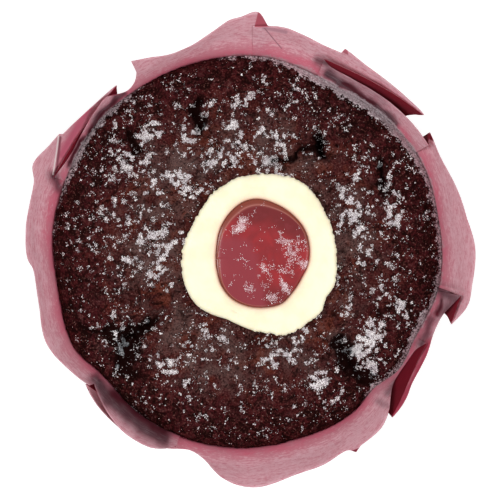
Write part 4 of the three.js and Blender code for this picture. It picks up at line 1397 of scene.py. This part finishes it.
    # Painted dark red shadow down in the pockets: a line and half width.
    pocket_shadow_lines: tuple[tuple[Line, float], ...] = (
        (((-28.4, -29.6), (-23.5, -33.9), (-17.4, -37.8)), 1.2),
        (((-27.6, 31.0), (-29.0, 29.7), (-33.3, 25.0), (-37.5, 17.9)), 0.5),
        (((39.8, -10.4), (38.9, -13.0), (37.6, -16.4)), 0.45),
        (((19.6, 34.4), (25.4, 30.2)), 0.5),
    )

    def ripple(self, bearing: Array, height: Array | float, kind: tuple[float, float, float, int]) -> Array:
        """Args:
            bearing: degrees.
            height: in millimetres.
            kind: the creases or the waves.

        Returns:
            An uneven wave that depends on the place alone, so that layers never cross.
        """
        radius, change, depth, seed = kind
        angle = np.radians(bearing)
        noise = Noise(1.0, 2, seed, depth)
        return noise(radius * np.cos(angle), radius * np.sin(angle), height * change)

    def reach(self, bearing: Array, layer: Array, height: Array) -> Array:
        """Args:
            bearing: degrees.
            layer: how many sheets lie inside the paper.
            height: above the throat.

        Returns:
            The radius of the paper, whose layers are pressed together at the throat and spread above it.
        """
        spread = smooth(height, 0.0, self.spread_height)
        gap = CLEARANCE + self.spread_gap * spread
        step = self.pressed_step + (self.layer_step - self.pressed_step) * spread
        wave = spread * self.ripple(bearing, height, self.waves)
        return EDGE_RADIUS(bearing) + gap + layer * step + self.lean(bearing) * height + wave

    def rise(self, bearing: Array, layer: Array, radius: Array) -> Array:
        """Args:
            bearing: degrees.
            layer: how many sheets lie inside the paper.
            radius: of its rim.

        Returns:
            How high above the throat the paper reaches that radius, found by halving.
        """
        low = np.full_like(radius, self.lowest_rim)
        high = np.full_like(radius, self.highest_rim)
        for _ in range(self.halvings):
            middle = (low + high) / 2
            short = self.reach(bearing, layer, middle) < radius
            low, high = np.where(short, middle, low), np.where(short, high, middle)
        return low

    def rim_points(self, panel: Panel) -> tuple[Array, Array]:
        """Args:
            panel: a stretch of the rim.

        Returns:
            Bearings and radii of a centripetal curve through its rim.
        """
        knots = np.array(panel.rim)
        knots = np.vstack([2 * knots[0] - knots[1], knots, 2 * knots[-1] - knots[-2]])
        count = max(3, round((knots[-2, 0] - knots[1, 0]) / self.sample))
        place = np.linspace(0, len(knots) - 3, count + 1)
        index = np.minimum(place.astype(int), len(knots) - 4)
        t = (place - index)[:, None]
        p0, p1, p2, p3 = (knots[index + k] for k in range(4))
        steps = ((p0, p1), (p1, p2), (p2, p3))
        d0, d1, d2 = (np.linalg.norm(b - a, axis=1, keepdims=True) ** 0.5 for a, b in steps)
        m1 = ((p1 - p0) / d0 - (p2 - p0) / (d0 + d1) + (p2 - p1) / d1) * d1
        m2 = ((p2 - p1) / d1 - (p3 - p1) / (d1 + d2) + (p3 - p2) / d2) * d1
        rise = p2 - p1
        curve = p1 + t * (m1 + t * (3 * rise - 2 * m1 - m2 + t * (m1 + m2 - 2 * rise)))
        return curve[:, 0], curve[:, 1]

    def strip(self) -> Array:
        """Returns rows of rim bearing, foot bearing, layer, rise and slant, once round with every fold."""
        parts: list[Array] = []
        count = len(self.panels)
        gaps = []
        for i, panel in enumerate(self.panels):
            first = self.panels[(i + 1) % count].rim[0][0]
            gap = off_bearing(first, panel.rim[-1][0])
            gaps.append((panel.rim[-1][0] + gap / 2, gap < 0))
        for i, panel in enumerate(self.panels):
            bearing, radius = self.rim_points(panel)
            (before, before_folded), (after, after_folded) = gaps[i - 1], gaps[i]
            before += 360 * round((bearing[0] - before) / 360)
            low = (before + self.fold_half if before_folded else bearing[0],
                   after - self.fold_half if after_folded else bearing[-1])
            share = np.linspace(0, 1, len(bearing))
            layer = panel.layers[0] + (panel.layers[1] - panel.layers[0]) * share
            foot = low[0] + (low[1] - low[0]) * share
            slant = (panel.slant[0] * bell(bearing - bearing[0], self.slant_width)
                     + panel.slant[1] * bell(bearing - bearing[-1], self.slant_width))
            parts.append(np.stack([bearing, foot, layer, self.rise(bearing, layer, radius), slant]))
            if after_folded:
                parts.append(self.fold(panel, self.panels[(i + 1) % count], parts[-1][:, -1], after))
        return np.concatenate(parts, axis=1)

    def fold(self, panel: Panel, following: Panel, end: Array, middle: float) -> Array:
        """Args:
            panel: the panel before the fold.
            following: the panel after it.
            end: the strip's entry where the first panel ends.
            middle: the fold's bearing at the foot.

        Returns:
            Entries for the bend, the paper folded back and the second bend.
        """
        bearing, radius = (values[0] for values in self.rim_points(following))
        turn = 360 * round((end[0] - bearing) / 360)
        last = np.array([bearing + turn, middle + self.fold_half, following.layers[0],
                         self.rise(bearing, following.layers[0], radius), following.slant[0]])
        steps = max(4, round((end[0] - last[0]) / self.sample))
        share = np.linspace(0, 1, steps + 1)
        layer = end[2] + (last[2] - end[2]) * (self.crease_gap + (1 - 2 * self.crease_gap) * share)
        back = end[0] + (last[0] - end[0]) * share
        # The edge of the folded paper runs nearly straight from crease to crease.
        start, stop = panel.rim[-1][1], following.rim[0][1]
        sag = np.cos(np.radians(end[0] - last[0]) / 2) / np.cos(np.radians(back - (end[0] + last[0]) / 2))
        radii = (start + (stop - start) * share) * (1 + panel.straight * (sag - 1))
        rises = self.rise(back, layer, radii)
        rises += (end[3] - rises[0]) * smooth(share, 0.25, 0.0)
        rises += (last[3] - rises[-1]) * smooth(share, 0.75, 1.0)
        low = middle - self.fold_half + 2 * self.fold_half * share
        slant = (panel.slant[1] * bell(back - end[0], self.slant_width)
                 + following.slant[0] * bell(back - last[0], self.slant_width))
        tuck = np.stack([back, low, layer, rises, slant])
        bend = np.linspace(0, math.pi, 6)[1:-1]
        ends = []
        for entry, other, side in ((end, layer[0], 1), (last, layer[-1], -1)):
            inward = (1 - np.cos(bend)) / 2 if side > 0 else (1 + np.cos(bend)) / 2
            low, rise, slant = (np.full_like(bend, entry[row]) for row in (1, 3, 4))
            bearing = entry[0] + side * self.bend_bulge * np.sin(bend)
            ends.append(np.stack([bearing, low, entry[2] + (other - entry[2]) * inward, rise, slant]))
        return np.concatenate([ends[0], tuck, ends[1]], axis=1)

    def sheet_rows(self, strip: Array) -> tuple[Array, Array]:
        """Args:
            strip: the strip's entries.

        Returns:
            The middle of the paper, row by row from the foot to the rim, and each point's height above the
            throat.
        """
        rim, foot, layer, rise, slant = strip
        rows, above = [], []
        for share in (0.33, 0.66, 1.0):
            low = np.full(len(rim), self.paper / 2)
            rows.append(around(foot, (FOOT_RADIUS - FOOT_CHAMFER) * share + 0 * rim, low, FOOT_CENTRE))
            above.append(np.full(len(rim), -THROAT_HEIGHT - FOOT_RADIUS * (1 - share)))
        for level in [0.8, 1.6, 3.0, 5.0, *np.linspace(7.0, THROAT_HEIGHT, 26)]:
            opened = (level / THROAT_HEIGHT) ** SIDE_POWER
            bearing = foot + (rim + slant - foot) * smooth(np.array(level), self.fold_height, THROAT_HEIGHT)
            radius = FOOT_RADIUS * (1 - opened) + EDGE_RADIUS(bearing) * opened
            radius += CLEARANCE * opened + layer * self.pressed_step
            creased = smooth(np.array(level), 2.0, 14.0) * smooth(np.array(level), THROAT_HEIGHT, 40.0)
            radius += (self.creases[2] + self.ripple(bearing, level, self.creases)) * creased
            rows.append(around(bearing, radius, np.full(len(rim), level), FOOT_CENTRE * (1 - opened)))
            above.append(np.full(len(rim), level - THROAT_HEIGHT))
        for share in np.linspace(0, 1, self.flare_rows)[1:]:
            height = rise * share
            bearing = rim + slant * (1 - share)
            rows.append(around(bearing, self.reach(bearing, layer, height), THROAT_HEIGHT + height))
            above.append(height)
        return np.stack(rows), np.stack(above)

    def dust(self, points: Array, above: Array, layer: Array) -> Array:
        """Args:
            points: places on the paper.
            above: their heights above the throat.
            layer: how many sheets lie inside them.

        Returns:
            How thick the sugar lies there, from 0 to 1.
        """
        bearing = np.degrees(np.arctan2(points[..., 1], points[..., 0]))
        thick = rim_dust(bearing)
        height = 0.3 + 0.7 * thick
        low = smooth(above - height + self.patches(points[..., 0], points[..., 1]), 0.9, -0.6)
        shown = smooth(above, -3.0, 0.0) * smooth(layer, 2.6, 1.4)
        return (0.4 + 0.5 * thick) * smooth(thick, 0.0, 0.3) * low * shown

    def pocket_shade(self, points: Array, above: Array, layer: Array) -> tuple[Array, Array]:
        """Args:
            points: places on the paper.
            above: their heights above the throat.
            layer: how many sheets lie inside them.

        Returns:
            How much painted shade lies on the paper there, and how much dark red painted shadow, from 0 to 1.
        """
        x, y = points[..., 0], points[..., 1]
        wx, wy = x + self.stain_wander_x(x, y), y + self.stain_wander_y(x, y)
        free = smooth(above, -3.0, 0.0)
        soaked_and_shaded = sum(strength * bell(line_distance(wx, wy, line), half) * (layer < last + 0.2)
                     for line, half, strength, last in self.pocket_shades)
        wine = sum(bell(line_distance(wx, wy, line), half) for line, half in self.pocket_shadow_lines)
        return np.clip(soaked_and_shaded, 0, 1) * free, np.clip(wine * (layer < 0.5), 0, 1) * free

    def build(self, material: Material) -> tuple[Object, Object]:
        """Args:
            material: of the paper.

        Returns:
            The case, and its bare inner face with its marks, for the sugar to fall on.
        """
        strip = self.strip()
        middle, above = self.sheet_rows(strip)
        rows, columns = above.shape
        along = np.roll(middle, -1, axis=1) - np.roll(middle, 1, axis=1)
        normal = np.cross(along, np.gradient(middle, axis=0))
        normal /= np.maximum(np.linalg.norm(normal, axis=2, keepdims=True), 1e-9)
        faces = grid_faces(rows, columns)
        turned = np.arange(columns)
        following = (turned + 1) % columns
        pole = np.array([[*FOOT_CENTRE, 0.0]])
        shells = [
            np.concatenate([(middle + side * self.paper / 2 * normal).reshape(-1, 3), pole + (0, 0, lift)])
            for side, lift in ((1, 0.0), (-1, self.paper))
        ]
        size = len(shells[0])
        edge = (rows - 1) * columns
        whole = faces.tolist() + (faces[:, ::-1] + size).tolist()
        whole += np.stack([edge + turned, edge + following, size + edge + following, size + edge + turned],
                          axis=1).tolist()
        whole += np.stack([np.full(columns, size - 1), following, turned], axis=1).tolist()
        whole += np.stack([np.full(columns, 2 * size - 1), size + turned, size + following], axis=1).tolist()
        points = np.concatenate(shells)
        layer = np.broadcast_to(strip[2], above.shape)
        dust = self.dust(middle, above, layer)
        stain, wine = self.pocket_shade(middle, above, layer)
        # Grains lie where the paper is open, not where it is folded back or pressed to the next layer.
        loose = np.where(layer > 0.3, smooth(above, 0.5, 2.0), smooth(above, -0.8, 0.0))
        single = {
            "free": smooth(above, -1.0, 6.0), "dust": dust, "stain": stain, "wine": wine,
            "powder": dust**2 * ((np.gradient(strip[0]) > 0) * loose),
        }
        marks = {name: np.tile(np.append(values.ravel(), 0.0), 2) for name, values in single.items()}
        marks["outside"] = np.repeat([1.0, 0.0], size)
        made = make_mesh("paper_case_folded", points, whole, marks)
        lengths = np.hypot(np.diff(strip[0]) * self.rim_per_degree, np.diff(strip[2]) * self.layer_step)
        distance = np.concatenate([[0.0], np.cumsum(lengths)])
        loops = np.empty(len(made.data.loops), dtype=np.int32)
        made.data.loops.foreach_get("vertex_index", loops)
        spot = np.tile(np.append(np.arange(rows * columns), 0), 2)[loops]
        where = np.stack([distance[spot % columns], above.ravel()[spot]], axis=1)
        made.data.uv_layers.new(name="sheet").data.foreach_set("uv", (where * MM).ravel())
        inner = {name: values[size:] for name, values in marks.items()}
        ground = make_mesh("paper_ground", shells[1], faces[edge - self.dusted_rows * columns:, ::-1], inner)
        return dress(made, material, Slot.PAPER, "paper_case"), ground


# ---------- Studio ----------


@dataclass
class Studio:
    """A white table under soft light, and a long lens straight above the muffin."""

    camera_height: float = 1.0
    lens: float = 331.0
    clip_start: float = 0.05
    # What the lamps point at, in metres.
    aim_height: float = 0.05
    # Half the table's width and how far its top lies under the case's foot, so that the two don't fight.
    table: float = 900.0
    table_drop: float = 0.02
    room_light: float = 0.7
    # Name, place in metres, diameter and watts.
    boxes: tuple[tuple[str, tuple[float, float, float], float, float], ...] = (
        ("left_box", (-0.75, 0.1, 0.95), 0.55, 4.2), ("right_box", (0.8, 0.0, 0.9), 0.6, 3.8),
        ("front_box", (0.1, -0.9, 0.8), 0.6, 1.6),
    )

    def build_camera(self) -> None:
        """Puts the camera straight above the muffin, with +Y at the top of the picture."""
        lens = bpy.data.cameras.new("camera")
        lens.lens = self.lens
        lens.clip_start = self.clip_start
        camera = bpy.data.objects.new("camera", lens)
        camera.location = (0, 0, self.camera_height)
        bpy.context.scene.collection.objects.link(camera)
        bpy.context.scene.camera = camera

    def build_floor(self) -> None:
        """Lays the table under the muffin."""
        material, tree, surface, _ = blank_material("white_acrylic_sheet")
        tone = coated(tree, "fafafa", Coat(pattern(tree, 300.0, 2.0), "f4f4f4"))
        shader = add_node(tree, "ShaderNodeBsdfPrincipled", {
            "Base Color": tone, "Roughness": 0.6,
            "Emission Color": colour("ffffff"), "Emission Strength": 0.3,
        })
        tree.links.new(shader.outputs[0], surface)
        signs = ((-1, -1), (1, -1), (1, 1), (-1, 1))
        corners = np.array([[self.table * x, self.table * y, -self.table_drop] for x, y in signs])
        floor = make_mesh("floor", corners, [[0, 1, 2, 3]])
        floor.data.materials.append(material)

    def build_lights(self) -> None:
        """Hangs the soft boxes and fills the room with even white light."""
        world = bpy.data.worlds.new("room")
        world.use_nodes = True
        background = world.node_tree.nodes["Background"]
        background.inputs["Color"].default_value = colour("ffffff")
        background.inputs["Strength"].default_value = self.room_light
        bpy.context.scene.world = world
        for name, place, size, watts in self.boxes:
            lamp = bpy.data.lights.new(name, "AREA")
            lamp.shape = "DISK"
            lamp.size = size
            lamp.energy = watts
            box = bpy.data.objects.new(name, lamp)
            box.location = place
            aim = -np.array(place) + (0, 0, self.aim_height)
            pitch = math.atan2(math.hypot(aim[0], aim[1]), -aim[2])
            box.rotation_euler = (pitch, 0, math.atan2(aim[1], aim[0]) - math.pi / 2)
            bpy.context.scene.collection.objects.link(box)
        bpy.context.scene.view_settings.view_transform = "Standard"


def main() -> None:
    """Builds the muffin's pieces in order and the studio round it."""
    logging.basicConfig(level=logging.INFO, format="%(name)s: %(message)s")
    studio = Studio()
    studio.build_camera()
    studio.build_floor()
    studio.build_lights()
    sugar = IcingSugar("icing_sugar").material()
    case, sheet = PaperCase().build(GreaseproofPaper().material())
    cake, crust = Cake().build(ChocolateCrust().material())
    cream = Cream().build(SetCream().material())
    jam = Jam().build(CherryJam().material())
    pink_sugar = IcingSugar("icing_sugar_on_jam", light="fdf5f7", shade="ead3d9", stain=0.2).material()
    scatters = (
        (SugarScatter("sugar_on_crust", 42.0, 0.06, 0.19, 7), crust, sugar, Slot.CRUST),
        (SugarScatter("sugar_specks", 13.0, 0.05, 0.13, 10, "specks"), crust, sugar, Slot.CRUST),
        (SugarScatter("sugar_on_paper", 20.0, 0.03, 0.06, 8), sheet, sugar, Slot.PAPER),
        (SugarScatter("sugar_on_jam", 68.0, 0.055, 0.125, 9), jam, pink_sugar, Slot.JAM),
    )
    grains = [scatter.build(ground, finish, slot) for scatter, ground, finish, slot in scatters]
    for ground in (crust, sheet):
        bpy.data.objects.remove(ground)
    for piece in (case, cake, cream, jam, *grains):
        LOG.info("%s: %d faces", piece.name, len(piece.data.polygons))


if __name__ == "__main__":
    main()
